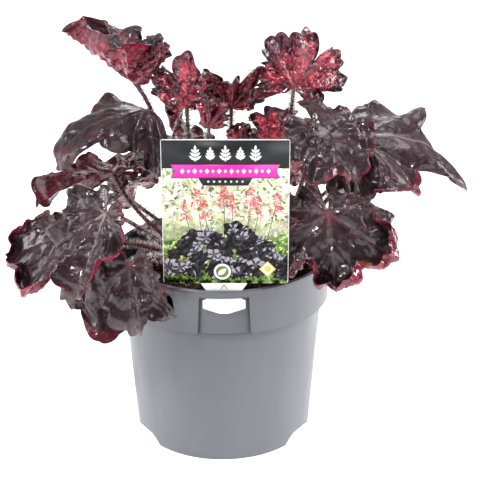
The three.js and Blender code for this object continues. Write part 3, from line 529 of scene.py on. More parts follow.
def blade_sheet(leaf, q, share):
    """Points of the blade's middle surface in its own frame, +X along the midrib, +Z out of the upper face.
    q says between which lobes a point lies, share how far out. The slope is summed up on the way out."""
    steps = 56
    theta = (q - MIDRIB) * LOBE_STEP * leaf["spread"]
    s = (np.arange(steps) + 0.5)[None, :] / steps * share[:, None]
    phase, seed = leaf["phase"], leaf["seed"]
    wave = (0.62 * np.sin(TURN * (leaf["waves"] * q + phase))
            + 0.6 * np.sin(TURN * (0.41 * leaf["waves"] * q + 2.1 * phase + 0.3)))
    jitter = soft_noise(np.stack([q * 1.7, np.full(len(q), seed * 3.7)], 1), seed)
    broad = soft_noise(np.stack([q * 1.05, np.full(len(q), seed * 1.9)], 1), seed + 40)
    ripple = np.sin(TURN * (leaf["ripples"] * q + phase * 3 + 0.5 * jitter)) * (0.75 + 0.7 * jitter)
    slope = sum(amount[:, None] * onset for amount, onset in (
        (along(leaf["rise"], q), np.minimum(1, s / ROUND_HUB)),
        (along(leaf["droop"], q), s),
        (along(leaf["curl"], q), smoothstep(s, CURL_FROM, 1)),
        (along(leaf["fold"], q), smoothstep(s, 0.78, 0.97)),
        (leaf["ruffle"] * wave, s ** 1.5),
        (-leaf["pleat"] * np.cos(TURN * q), s),
        (leaf["flutter"] * broad, s ** 2),
        (leaf["ripple"] * ripple, s ** 4)))
    out = np.cos(np.radians(slope)).mean(1) * share
    up = np.sin(np.radians(slope)).mean(1) * share
    clefts = (1 - np.abs(np.cos(np.pi * q))) ** leaf["cleft"]
    teeth = 1 - np.abs(np.cos(np.pi * leaf["teeth"] * (q + 0.05 * jitter)))
    cut_in = (1 - (leaf["notch"] + leaf["fine_notch"]) * share ** leaf["deepening"] * clefts) \
        * (1 - leaf["fine_tooth"] * (1 + 0.6 * jitter) * share ** 7 * teeth ** 1.3)
    tip = leaf["strand"] * np.exp(-((q - MIDRIB) / 0.2) ** 2)
    reach = leaf["length"] * (along(leaf["lengths"], q) + tip) * cut_in
    return np.stack([reach * out * np.cos(theta), reach * out * np.sin(theta), reach * up], 1)


def flat(leaf, q, share):
    """Where a point of the blade lies when the blade is pressed flat."""
    theta = (q - MIDRIB) * LOBE_STEP * leaf["spread"]
    reach = leaf["length"] * along(leaf["lengths"], q) * share
    return np.stack([reach * np.cos(theta), reach * np.sin(theta)], 1)


def veins(leaf):
    """Main and side veins of the flat blade, as starts and ends of segments."""
    main_q = np.arange(LOBES, dtype=float)
    main = (flat(leaf, main_q, np.full(LOBES, 0.0)), flat(leaf, main_q, np.full(LOBES, 0.97)))
    starts, ends = [], []
    u = np.linspace(0, 1, 5)
    for lobe in range(LOBES):
        for leaves_at in (0.14, 0.30, 0.46, 0.62, 0.78):
            for side in (-1, 1):
                start = leaves_at + 0.05 * side
                q = lobe + side * 0.46 * (1 - 0.35 * leaves_at) * u ** 0.85
                line = flat(leaf, np.clip(q, -PAST_LAST, LOBES - 1 + PAST_LAST),
                            start + (min(1.0, start + 0.58) - start) * u)
                starts.append(line[:-1])
                ends.append(line[1:])
    return main, (np.concatenate(starts), np.concatenate(ends))


def stitch(inner, outer):
    """The triangles of the strip between two rows of points that differ in number."""
    made, i, j = [], 0, 0
    last_i, last_j = len(inner) - 1, len(outer) - 1
    while i < last_i or j < last_j:
        if j < last_j and (i == last_i or (j + 1) / last_j <= (i + 1) / last_i + 1e-9):
            made.append((inner[i], outer[j], outer[j + 1]))
            j += 1
        else:
            made.append((inner[i], outer[j], inner[i + 1]))
            i += 1
    return made


def vertex_normals(points, faces):
    faces = np.asarray(faces)
    a, b, c = (points[faces[:, k]] for k in range(3))
    area = np.cross(b - a, c - a)
    normals = np.zeros_like(points)
    for k in range(3):
        np.add.at(normals, faces[:, k], area)
    return normals / np.maximum(np.linalg.norm(normals, axis=1), 1e-9)[:, None]


def blade_axes(leaf):
    """The blade's own axes: along its midrib, to the left, out of its upper face."""
    heading, pitch = math.radians(leaf["heading"]), math.radians(leaf["pitch"])
    midrib = swung(heading, math.cos(pitch), math.sin(pitch))
    turn = Matrix.Rotation(math.radians(leaf["roll"]), 3, Vector(midrib))
    left = np.array(turn @ Vector((-math.sin(heading), math.cos(heading), 0)))
    return np.stack([midrib, left, np.cross(midrib, left)])


def petiole_points(leaf, count):
    """Points along the petiole's middle line, from its socket to the blade: one cubic Bezier curve."""
    midrib, _, normal = blade_axes(leaf)
    polar, lean = (math.radians(a) for a in TIERS[leaf["tier"]])
    azimuth = math.radians(leaf["root"])
    first = swung(azimuth, math.sin(lean), math.cos(lean))
    socket = swung(azimuth, CROWN["radius"] * math.sin(polar), CROWN["height"] * math.cos(polar))
    foot = socket + [0, 0, CROWN["z"]] - first * SOCKET_DEPTH
    arrive = math.radians(leaf["arrive"])
    arrival = midrib * math.cos(arrive) + normal * math.sin(arrive)
    end = np.array(leaf["hub"], float) + arrival * 0.1
    span = np.linalg.norm(end - foot)
    p = [foot, foot + first * span * 0.42, end - arrival * span * 0.3, end]
    t = np.linspace(0, 1, count)[:, None]
    return (1 - t) ** 3 * p[0] + 3 * (1 - t) ** 2 * t * p[1] + 3 * (1 - t) * t ** 2 * p[2] + t ** 3 * p[3]


def frames_along(line):
    """Tangent and two cross directions at each point of a line, turning as little as they can."""
    tangent = np.gradient(line, axis=0)
    tangent /= np.linalg.norm(tangent, axis=1)[:, None]
    side = np.cross(tangent[0], [0.31, 0.77, 0.12])
    sides = []
    for t in tangent:
        side = side - t * (side @ t)
        side = side / np.linalg.norm(side)
        sides.append(side)
    return tangent, np.array(sides), np.cross(tangent, sides)


def tube(line, radii, around=10):
    """A closed tube along a line."""
    _, u, v = frames_along(line)
    turn = np.linspace(0, TURN, around, endpoint=False)
    ring = np.cos(turn)[None, :, None] * u[:, None, :] + np.sin(turn)[None, :, None] * v[:, None, :]
    points = line[:, None, :] + np.asarray(radii)[:, None, None] * ring
    last = (len(line) - 1) * around
    faces = [(r + k, r + (k + 1) % around, r + around + (k + 1) % around, r + around + k)
             for r in range(0, last, around) for k in range(around)]
    return points.reshape(-1, 3), faces + [tuple(reversed(range(around))), tuple(range(last, last + around))]


def blade_grid(leaf):
    """Rings of points round the hub: the rings, q, share, and the triangles between them."""
    rows, q, share, count = [[0]], [np.array([MIDRIB])], [np.array([0.0])], 1
    for s in 1 - (1 - np.linspace(0, 1, leaf["rings"] + 1)[1:]) ** 1.15:
        n = max(12, int(round(leaf["around"] * (0.08 + 0.92 * s) / 2)) * 2 + 1)
        rows.append(list(range(count, count + n)))
        q.append(np.linspace(-PAST_LAST, LOBES - 1 + PAST_LAST, n))
        share.append(np.full(n, s))
        count += n
    triangles = [t for a, b in zip(rows, rows[1:]) for t in stitch(a, b)]
    return rows, np.concatenate(q), np.concatenate(share), triangles


def relief(leaf, q, share, pressed):
    """How far each point stands out of the sheet, and how strongly the main and side veins show there."""
    seed = leaf["seed"]
    d_main, d_side = (segment_distance(pressed, *lines) for lines in veins(leaf))
    main = np.exp(-(d_main / (0.55 + 0.9 * (1 - share))) ** 2)
    side = np.exp(-(d_side / 0.6) ** 2)
    puffed = 1 - np.exp(-(np.minimum(d_main, 2 + d_side * 1.5) / 4.2) ** 1.6)
    warp = np.stack([soft_noise(pressed / 5.0, seed + 61), soft_noise(pressed / 5.0, seed + 62)], 1)
    near, own = cells((pressed + 1.6 * warp) / leaf["cell"] + seed * 17.3, seed)
    quilt = 1 - np.clip(near / 0.66, 0, 1) ** 2
    loose = soft_noise(pressed / 9.0 + seed * 5.1, seed + 3)
    ridges = 1 - np.abs(soft_noise((pressed + 2 * warp) / 4.6 + seed * 2.3, seed + 9))
    rough = smoothstep(soft_noise(pressed / 13.0 + seed * 3.3, seed + 33), -0.15, 0.45)  # in patches
    tips = smoothstep(share, 0.68, 0.9) * np.clip(np.cos(TURN * q), 0, 1)
    height = (leaf["puff"] * (puffed - 0.6) - leaf["groove"] * (main + 0.3 * side)
              + leaf["cell_height"] * (quilt - 0.4) * (0.5 + 0.5 * own) * (0.45 + 0.8 * rough)
              + leaf["swell"] * loose * share
              + leaf["crinkle"] * (2.2 * ridges ** 3 - 0.7) * (0.15 + 1.3 * rough)
              + leaf["knob"] * tips - leaf["roll_under"] * smoothstep(share, 0.92, 1) ** 1.5)
    return height * smoothstep(share, 0.03, 0.25), main, side


def colour_masks(leaf, q, share, pressed, main, side):
    """The vein, flush and blotch masks, first of the upper face and then of the underside."""
    seed = leaf["seed"]
    patches = soft_noise(pressed / 9.0 + seed, seed + 21)
    specks = soft_noise(pressed / 3.1 + seed, seed + 5)
    vein = np.clip(main * (1.0 - 0.45 * share) + 0.32 * side, 0, 1) * leaf["veined"]
    if leaf["kind"] == "leaf":  # red on rolled margins and at the hub, and a painted red glow at the rim for light shining through the thin margin
        # Painted light: the red at the rim stands for light shining through the thin margin.
        even = np.maximum(smoothstep(patches, -0.1, 0.5), leaf["rim_even"])
        rim = smoothstep(share + 0.03 * specks, 0.93, 1.0) * even
        margin = smoothstep(share + 0.02 * specks, 0.84, 0.91)
        rolled = 0.9 * smoothstep(along(leaf["fold"], q), 15, 60) * margin
        flush = np.maximum(leaf["rim"] * rim, rolled) + 0.9 * np.exp(-(share / leaf["eye"]) ** 2) \
            + leaf["warm"] * smoothstep(patches, 0.1, 0.8)
        flush_under = leaf["under_dark"] + 0.5 * smoothstep(patches, 0.2, 0.8)
    else:  # dark towards the rim and in patches
        flush = np.clip(0.95 * smoothstep(share + 0.16 * patches, 0.60, 0.93)
                        + 0.55 * smoothstep(patches, 0.25, 0.75), 0, 1)
        flush_under = 0.8 * flush + 0.2 * smoothstep(patches, 0, 0.6)
    blotch = np.zeros(len(share))
    for q0, s0, size in leaf["blotches"]:
        centre = flat(leaf, np.array([q0]), np.array([s0]))[0]
        away = np.linalg.norm(pressed - centre, axis=1) + 1.2 * specks
        blotch = np.maximum(blotch, 0.85 * (1 - smoothstep(away, size * 0.45, size)))
    return dict(vein=np.concatenate([vein, vein]), flush=np.clip(np.concatenate([flush, flush_under]), 0, 1),
                blotch=np.concatenate([blotch, blotch * 0.4]))


def blade_shell(leaf):
    """The blade as one closed thin shell in its own frame: points, faces, material numbers, colour masks."""
    rows, q, share, triangles = blade_grid(leaf)
    sheet, pressed = blade_sheet(leaf, q, share), flat(leaf, q, share)
    height, main, side = relief(leaf, q, share, pressed)
    normals = vertex_normals(sheet, triangles)
    half = BLADE_THICKNESS / 2 * (1 - 0.3 * share ** 6)
    ridge = (0.95 - 0.65 * share) * main + 0.32 * (1 - 0.5 * share) * side
    upper = sheet + normals * (height + half)[:, None]
    under = sheet + normals * (height - half - ridge)[:, None]
    edge = [0] + [r[0] for r in rows[1:-1]] + rows[-1] + [r[-1] for r in rows[-2:0:-1]]
    n = len(sheet)
    walls = [(a, a + n, b + n, b) for a, b in zip(edge, edge[1:] + edge[:1])]
    faces = triangles + [(a + n, c + n, b + n) for a, b, c in triangles] + walls
    slots = [0] * len(triangles) + [1] * len(triangles) + [0] * len(walls)
    return np.concatenate([upper, under]), faces, slots, colour_masks(leaf, q, share, pressed, main, side)


def spikes(bases, ways, lengths, rng):
    """Fine three-sided hairs, each a little bent."""
    points, faces = [], []
    for base, way, length in zip(bases, ways, lengths):
        side = np.cross(way, [0.2, 0.5, 0.84])
        side /= np.linalg.norm(side)
        other = np.cross(way, side)
        bend = (side * rng.uniform(-0.08, 0.08) + other * rng.uniform(-0.08, 0.08)) * length
        start = len(points)
        tip = base + way * length + bend
        for centre, radius in ((base - way * 0.2, HAIR_RADIUS), (tip, HAIR_RADIUS * 0.7)):
            for a in (0, TURN / 3, 2 * TURN / 3):
                points.append(centre + radius * (side * math.cos(a) + other * math.sin(a)))
        faces += [(start + k, start + (k + 1) % 3, start + 3 + (k + 1) % 3, start + 3 + k) for k in range(3)]
        faces += [(start + 2, start + 1, start), (start + 3, start + 4, start + 5)]
    return np.array(points), faces


def make_hairs(leaf, line, radii):
    """The hairs that stand out all round the petiole."""
    rng = random.Random(leaf["seed"] * 101 + 7)
    tangent, u, v = frames_along(line)
    per_mm, shortest, longest = leaf["hairs"]
    bases, ways, lengths = [], [], []
    for _ in range(int(np.linalg.norm(np.diff(line, axis=0), axis=1).sum() * per_mm)):
        place = rng.uniform(0.03, 0.985) * (len(line) - 1)
        i, f = int(place), place % 1
        after = min(i + 1, len(line) - 1)
        a = rng.uniform(0, TURN)
        outward = math.cos(a) * u[i] + math.sin(a) * v[i]
        way = outward + tangent[i] * rng.uniform(-0.15, 0.15)
        ways.append(way / np.linalg.norm(way))
        centre, radius = (row[i] * (1 - f) + row[after] * f for row in (line, radii))
        bases.append(centre + outward * radius * 0.97)
        lengths.append(rng.uniform(shortest, longest))
    tufts = Parts()
    tufts.add(*spikes(bases, ways, lengths, rng))
    tufts.make("hairs_" + leaf["name"], [M_HAIR if leaf["kind"] == "leaf" else M_YOUNG_HAIR])


def grow(leaf):
    """One leaf's piece, blade and petiole, and the hairs that stand on it."""
    parts = Parts("vein", "flush", "blotch")
    points, faces, slots, masks = blade_shell(leaf)
    parts.add(points @ blade_axes(leaf) + np.array(leaf["hub"], float), faces, slots, **masks)
    line = petiole_points(leaf, count=34)
    t = np.linspace(0, 1, len(line))
    radii = leaf["petiole"] * (1 + 0.45 * np.exp(-t / 0.06) + 0.30 * np.exp(-(1 - t) / 0.03) - 0.10 * t)
    parts.add(*tube(line, radii), 2)
    young = leaf["kind"] != "leaf"
    skins = [M_YOUNG, M_YOUNG_UNDER, M_PETIOLE] if young else [M_UPPER, M_UNDER, M_PETIOLE]
    piece = parts.make("fine_" + leaf["name"], skins, sharp=75)
    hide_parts(leaf["name"])
    make_hairs(leaf, line, radii)


# ---------------------------------------------------------------- turned and cut shapes
def rounded(profile, radius, steps):
    """A closed profile of (r, z) with its corners rounded, apart from those on the axis."""
    made = []
    for k, here in enumerate(profile):
        before, after = np.array(profile[k - 1]), np.array(profile[(k + 1) % len(profile)])
        here = np.array(here, float)
        if here[0] < 1e-6:
            made.append(here)
            continue
        back, on = before - here, after - here
        cut_by = min(radius, 0.42 * np.linalg.norm(back), 0.42 * np.linalg.norm(on))
        a, b = here + back / np.linalg.norm(back) * cut_by, here + on / np.linalg.norm(on) * cut_by
        made += [(1 - t) ** 2 * a + 2 * (1 - t) * t * here + t * t * b for t in np.linspace(0, 1, steps)]
    return made


def lathe(profile, sides):
    """Points and faces of a profile turned about Z, from the axis to the axis."""
    points, rows = [], []
    turn = np.arange(sides) / sides * TURN
    for r, z in profile:
        if r < 1e-6:
            rows.append([len(points)] * sides)
            points.append((0, 0, z))
        else:
            rows.append([len(points) + k for k in range(sides)])
            points.extend(zip(r * np.cos(turn), r * np.sin(turn), [z] * sides))
    faces = []
    for a, b in zip(rows, rows[1:]):
        for k in range(sides):
            n = (k + 1) % sides
            face = tuple(dict.fromkeys((a[k], a[n], b[n], b[k])))  # a triangle at the axis
            if len(face) > 2:
                faces.append(face)
    return np.array(points), faces


def prism_faces(n):
    """The faces of a closed form with n points at one end and n at the other."""
    return [tuple(reversed(range(n))), tuple(range(n, 2 * n)),
            *((k, (k + 1) % n, n + (k + 1) % n, n + k) for k in range(n))]


def prism(outline, low, high, axis=2):
    """A counter-clockwise outline drawn out along an axis: 0 for (y, z), 1 for (x, z), 2 for (x, y)."""
    ends = (high, low) if axis == 1 else (low, high)
    points = [np.insert(np.array(outline, float), axis, at, axis=1) for at in ends]
    return np.concatenate(points), prism_faces(len(outline))


def box(x0, x1, z0, z1):
    return [(x0, z0), (x1, z0), (x1, z1), (x0, z1)]


def lozenge(x, z, across, up):
    return [(x - across, z), (x, z - up), (x + across, z), (x, z + up)]


def turned(points, x, z, turn):
    """Outline points turned about their origin, which then goes to x, z."""
    c, s = math.cos(turn), math.sin(turn)
    return [(x + px * c - pz * s, z + px * s + pz * c) for px, pz in points]


def disc(x, z, rx, rz=None, count=24, turn=0.0, wobble=0.0, waves=8):
    """An oval outline, with lobes if it wobbles."""
    made = []
    for k in range(count):
        a = TURN * k / count
        w = 1 + wobble * math.cos(waves * a)
        made.append((rx * w * math.cos(a), (rz or rx) * w * math.sin(a)))
    return turned(made, x, z, turn)


def petal(x, z, length, width, degrees, count=14):
    """A pointed oval that starts at a point and runs off in a direction."""
    made = []
    for k in range(count):
        t = k / count * 2
        out, side = (t, 1) if t < 1 else (2 - t, -1)
        made.append((length * out, -side * width * math.sin(math.pi * out ** 0.8) ** 0.9))
    return turned(made, x, z, math.radians(degrees))


def clipped(outline, x0, x1, z0, z1):
    """The part of an outline that lies in a box, by cutting along each side in turn."""
    for axis, limit, keep in ((0, x0, 1), (0, x1, -1), (1, z0, 1), (1, z1, -1)):
        made = []
        for a, b in zip(outline, outline[1:] + outline[:1]):
            da, db = (a[axis] - limit) * keep, (b[axis] - limit) * keep
            if da >= 0:
                made.append(a)
            if da * db < 0:
                t = da / (da - db)
                made.append((a[0] + (b[0] - a[0]) * t, a[1] + (b[1] - a[1]) * t))
        outline = made
    return outline


def cut(piece, shape, operation="DIFFERENCE"):
    """Joins or cuts a piece by a shape of points and faces."""
    mesh = bpy.data.meshes.new("cutter")
    mesh.from_pydata((shape[0] + POT_AT) * MM, [], [list(f) for f in shape[1]])
    tool = add_object("cutter", mesh)
    modifier = piece.modifiers.new("cut", "BOOLEAN")
    modifier.operation, modifier.object, modifier.solver = operation, tool, "EXACT"
    bpy.context.view_layer.update()
    result = bpy.data.meshes.new_from_object(piece.evaluated_get(bpy.context.evaluated_depsgraph_get()))
    piece.modifiers.clear()
    old, piece.data = piece.data, result
    bpy.data.meshes.remove(old)
    bpy.data.objects.remove(tool)
    bpy.data.meshes.remove(mesh)


# ---------------------------------------------------------------- pot
def wedge(r_back, r_front, low, high, grown=0.0, count=21):
    """The recess's room: between two radii at the front, its sides leaning out as they go down."""
    points = []
    for z in (low, high):
        half = RECESS["bottom_half"] - RECESS_SLOPE * (z - RECESS["open_z"]) + grown
        x = TONGUE_X + np.linspace(-half, half, count)
        points += [(a, -math.sqrt(r_back ** 2 - a ** 2), z) for a in x[::-1]]
        points += [(a, -math.sqrt(r_front ** 2 - a ** 2), z) for a in x]
    return np.array(points), prism_faces(2 * count)


def inner_radius(z):
    return BASE_RADIUS + (WALL_RADIUS - BASE_RADIUS) * z / COLLAR_Z - POT_WALL


def make_pot():
    lip_z, under_lip = POT_HEIGHT - LIP_HEIGHT, RIM_RADIUS - 0.9
    floor_top = FLOOR_Z + FLOOR_THICKNESS
    profile = [(0, FLOOR_Z), (inner_radius(FLOOR_Z), FLOOR_Z), (inner_radius(0), 0), (BASE_RADIUS, 0),
               (WALL_RADIUS, COLLAR_Z), (COLLAR_RADIUS, COLLAR_Z + 0.4), (under_lip, lip_z - 0.4),
               (RIM_RADIUS, lip_z), (RIM_RADIUS, POT_HEIGHT), (RIM_RADIUS - LIP_WIDTH, POT_HEIGHT),
               (RIM_RADIUS - LIP_WIDTH, lip_z - 0.4), (under_lip - POT_WALL, lip_z - 1.4),
               (COLLAR_RADIUS - POT_WALL, COLLAR_Z + 0.4 + POT_WALL),
               (WALL_RADIUS - POT_WALL, COLLAR_Z + POT_WALL),
               (inner_radius(floor_top), floor_top), (0, floor_top)]
    points, faces = lathe(rounded(profile, radius=0.6, steps=4), sides=176)
    piece = mesh_object("pot_shell", points, faces, [M_POT])

    back_of_panel = RECESS["radius"] - POT_WALL
    cut(piece, wedge(back_of_panel, COLLAR_RADIUS + 0.3, RECESS["panel_z"], lip_z + 0.3, POT_WALL), "UNION")
    cut(piece, wedge(RECESS["radius"], RIM_RADIUS + 12, RECESS["open_z"], RECESS["top_z"]))
    slot_half, slot_y = LABEL["neck"] + 0.8, LABEL["thickness"] / 2 + 0.35
    slot = box(TONGUE_X - slot_half, TONGUE_X + slot_half, LABEL["y"] - slot_y, LABEL["y"] + slot_y)
    cut(piece, prism(slot, RECESS["top_z"] - 1, POT_HEIGHT + 1))
    for way in (-1, 1):  # the low gaps between the feet: one bar of each side runs right through the pot
        bar = [(way * y, z) for y, z in [*NOTCH, (NOTCH[-1][0], -1), (NOTCH[0][0], -1)]]
        cut(piece, prism(bar[::-way], -200, 200, axis=0))
    for k in range(DRAIN["holes"]):
        a = TURN * (k + 0.5) / DRAIN["holes"]
        hole = disc(DRAIN["ring"] * math.cos(a), DRAIN["ring"] * math.sin(a), DRAIN["radius"], count=28)
        cut(piece, prism(hole, FLOOR_Z - 3, floor_top + 3))
    mesh = piece.data
    mesh.polygons.foreach_set("use_smooth", np.ones(len(mesh.polygons), bool))
    mesh.set_sharp_from_angle(angle=math.radians(32))
    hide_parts("pot")


# ---------------------------------------------------------------- crown and compost
def stipule(seat, up, out, length, width):
    """A dry scale that tapers and leans away from the crown."""
    across = np.cross(up, out)
    across /= max(np.linalg.norm(across), 1e-6)
    points = []
    for t, w in ((0, 0.7), (0.35, 1.0), (0.7, 0.7), (1.0, 0.08)):
        centre = seat + up * length * (t - 0.15) + out * 1.3 * t * t
        for side, thick in ((-1, 0.2), (0, 0.75), (1, 0.2), (0, -0.25)):
            points.append(centre + across * side * w * width + out * thick * (1.05 - t))
    faces = [(row + k, row + k + 4, row + (k + 1) % 4 + 4, row + (k + 1) % 4)
             for row in (0, 4, 8) for k in range(4)]
    return points, faces + [(0, 1, 2, 3), (15, 14, 13, 12)]


def make_crown():
    sides, steps, scales = 72, 26, 150
    profile = [(0, CROWN["z"] - CROWN["depth"]), (CROWN["foot"], CROWN["z"] - CROWN["depth"])]
    for i in range(steps + 1):
        a = math.pi / 2 * i / steps
        r = CROWN["radius"] * math.cos(a) if i < steps else 0
        profile.append((r, CROWN["z"] + CROWN["height"] * math.sin(a)))
    points, faces = lathe(profile, sides)
    away = points / np.maximum(np.linalg.norm(points - [0, 0, CROWN["z"] - 8], axis=1), 1e-6)[:, None]
    lumps = soft_noise(points / 4.2, 31) + soft_noise(points / 1.7, 32) * 0.45
    grown = smoothstep(points[:, 2], CROWN["z"] - 4, CROWN["z"] + 1)
    parts = Parts()
    parts.add(points + away * [1, 1, 0] * ((lumps - 1.0) * grown)[:, None], faces)

    rng = random.Random(5)
    for n in range(scales):  # dry stipules, and every fifth time the stub of an old leaf stalk
        azimuth, polar = rng.uniform(0, TURN), math.acos(rng.uniform(0.02, 0.93))
        out = swung(azimuth, math.sin(polar), math.cos(polar))
        seat = out * [CROWN["radius"], CROWN["radius"], CROWN["height"]] * 0.94 + [0, 0, CROWN["z"]]
        up = np.array([0, 0, 1.0]) * rng.uniform(0.3, 1.0) + out * 0.8
        up /= np.linalg.norm(up)
        if n % 5 == 0:
            line = seat + up * np.linspace(-1.5, rng.uniform(2.5, 6.0), 5)[:, None]
            radii = np.array([1.9, 1.7, 1.5, 1.4, 1.1]) * rng.uniform(0.8, 1.1)
            parts.add(*tube(line, radii, around=8))
        else:
            parts.add(*stipule(seat, up, out, rng.uniform(4, 8), rng.uniform(1.3, 2.4)), 1)
    piece = parts.make("fine_crown", [M_CROWN, M_PETIOLE], sharp=60)
    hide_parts("crown")


def icosahedron():
    points = [(0, 0, 1.0)]
    for z, turn in ((0.447, 0), (-0.447, 36)):
        points += [swung(math.radians(turn + 72 * k), 0.894, z) for k in range(5)]
    pairs = [(k, (k + 1) % 5) for k in range(5)]
    faces = [(0, 1 + a, 1 + b) for a, b in pairs] + [(1 + a, 6 + a, 1 + b) for a, b in pairs] \
        + [(1 + b, 6 + a, 6 + b) for a, b in pairs] + [(6 + a, 11, 6 + b) for a, b in pairs]
    return np.array(points + [(0, 0, -1.0)]), faces


def soil_height(x, y):
    at = np.stack([x, y], 1)
    return SOIL_Z - 0.4 + 1.5 * soft_noise(at / 9.0, 41) + 0.7 * soft_noise(at / 3.0, 42)


def make_soil():
    sides, circles, crumbs = 110, 34, 2300
    bottom, edge = FLOOR_Z + FLOOR_THICKNESS + 0.35, inner_radius(COLLAR_Z) - 0.75
    profile = [(0, bottom), (inner_radius(bottom) - 0.35, bottom), (edge, COLLAR_Z - 2), (edge, SOIL_Z - 2.5)]
    profile += [(r, SOIL_Z) for r in np.linspace(edge - 1.2, 1.5, circles)] + [(0, SOIL_Z)]
    points, faces = lathe(profile, sides)
    top = points[:, 2] > SOIL_Z - 0.1
    points[top, 2] = soil_height(points[top, 0], points[top, 1])
    parts = Parts()
    parts.add(points, faces)

    rng = random.Random(11)
    ball, ball_faces = icosahedron()
    crumb, bark, grit = range(3)
    for n in range(crumbs):  # crumbs of compost, bark bits and a little grit
        r, a = (edge - 2.5) * math.sqrt(rng.random()), rng.uniform(0, TURN)
        x, y = r * math.cos(a), r * math.sin(a)
        if r < CROWN["radius"] - 1:
            continue
        kind = crumb if n % 7 else (bark if n % 3 else grit)
        size = {crumb: rng.uniform(0.5, 1.9), bark: rng.uniform(1.0, 2.6), grit: rng.uniform(0.6, 1.2)}[kind]
        stretch = np.array([rng.uniform(0.7, 1.3), rng.uniform(0.6, 1.0), rng.uniform(0.5, 0.8)])
        if kind == bark:
            stretch *= [1.9, 0.7, 0.5]
        spin, lean = rng.uniform(0, 6.3), rng.uniform(-0.4, 0.4)
        turn = np.array(Matrix.Rotation(spin, 3, "Z") @ Matrix.Rotation(lean, 3, "X"))
        knobs = 1 + np.array([rng.uniform(-0.22, 0.22) for _ in ball])[:, None]
        z = soil_height(np.array([x]), np.array([y]))[0]
        parts.add(ball * knobs * stretch * size @ turn.T + [x, y, z + 0.25 * size], ball_faces, kind)
    piece = parts.make("fine_soil", [M_SOIL, M_BARK, M_GRIT], sharp=50)
    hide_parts("soil")


# ---------------------------------------------------------------- label
CARD_FRONT, CARD_BACK = (LABEL["y"] + way * LABEL["thickness"] / 2 for way in (-1, 1))
CARD_X = TONGUE_X + LABEL["aside"]  # the card's middle
LEFT, RIGHT = CARD_X - LABEL["half"] + 0.45, CARD_X + LABEL["half"] - 0.45  # the print's edges
LOW, HIGH = LABEL["bottom"] + 0.15, LABEL["top"] - 0.5
HEADER_LOW, BAND_Z = HIGH - 20.5, HIGH - 22.5
INK = 0.03  # the step from one layer of print to the next
INKS = dict(charcoal=((0.014, 0.016, 0.019), 0.2), magenta=((0.72, 0.030, 0.36),),
            plum=((0.16, 0.006, 0.08),), white=((0.90, 0.90, 0.88), 0.04), coral=((0.72, 0.060, 0.075), 0.2),
            rose=((0.82, 0.20, 0.28), 0.2), black_leaf=((0.008, 0.006, 0.009), 0.4),
            grey_leaf=((0.050, 0.042, 0.058), 0.4), lilac_leaf=((0.34, 0.32, 0.36), 0.4),
            green=((0.13, 0.24, 0.035), 0.3), yellow=((0.72, 0.56, 0.08), 0.1),
            stem=((0.07, 0.10, 0.035), 0.2))  # colour, how much it varies
INK_NAMES = ["border", *INKS]


def make_label():
    L = LABEL
    r = L["corner"]

    def side(s):
        """The outline's right side for s = 1, or its left side, from the head's tip up."""
        bends = [(a, L["bottom"] + r - r * math.cos(a)) for a in np.linspace(0, math.pi / 2, 7)]
        bends += [(a, L["top"] - r + r * math.cos(a)) for a in np.linspace(math.pi / 2, 0, 7)]
        made = [(s * L["head_tip_half"], L["head_tip"]), (s * (L["head"] - 0.5), L["head_side"] - 0.3),
                (s * L["head"], L["head_side"] + 0.4), (s * L["head"], L["head_top"] - 1.5),
                (s * L["neck"], L["head_top"]), (s * L["neck"], POT_HEIGHT), (s * L["shoulder"], L["bottom"]),
                *((s * (L["half"] - r + r * math.sin(a)) + L["aside"], z) for a, z in bends)]
        return [(x + TONGUE_X, z) for x, z in made]

    card = mottled("card", (0.3, 0.5, 0.3), (300, 3), [(0.3, 0.80), (0.7, 0.86)])
    points, faces = prism(side(1) + side(-1)[::-1], CARD_FRONT, CARD_BACK, axis=1)
    piece = mesh_object("label_card", points, faces, [card], sharp=30)
    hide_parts("label")


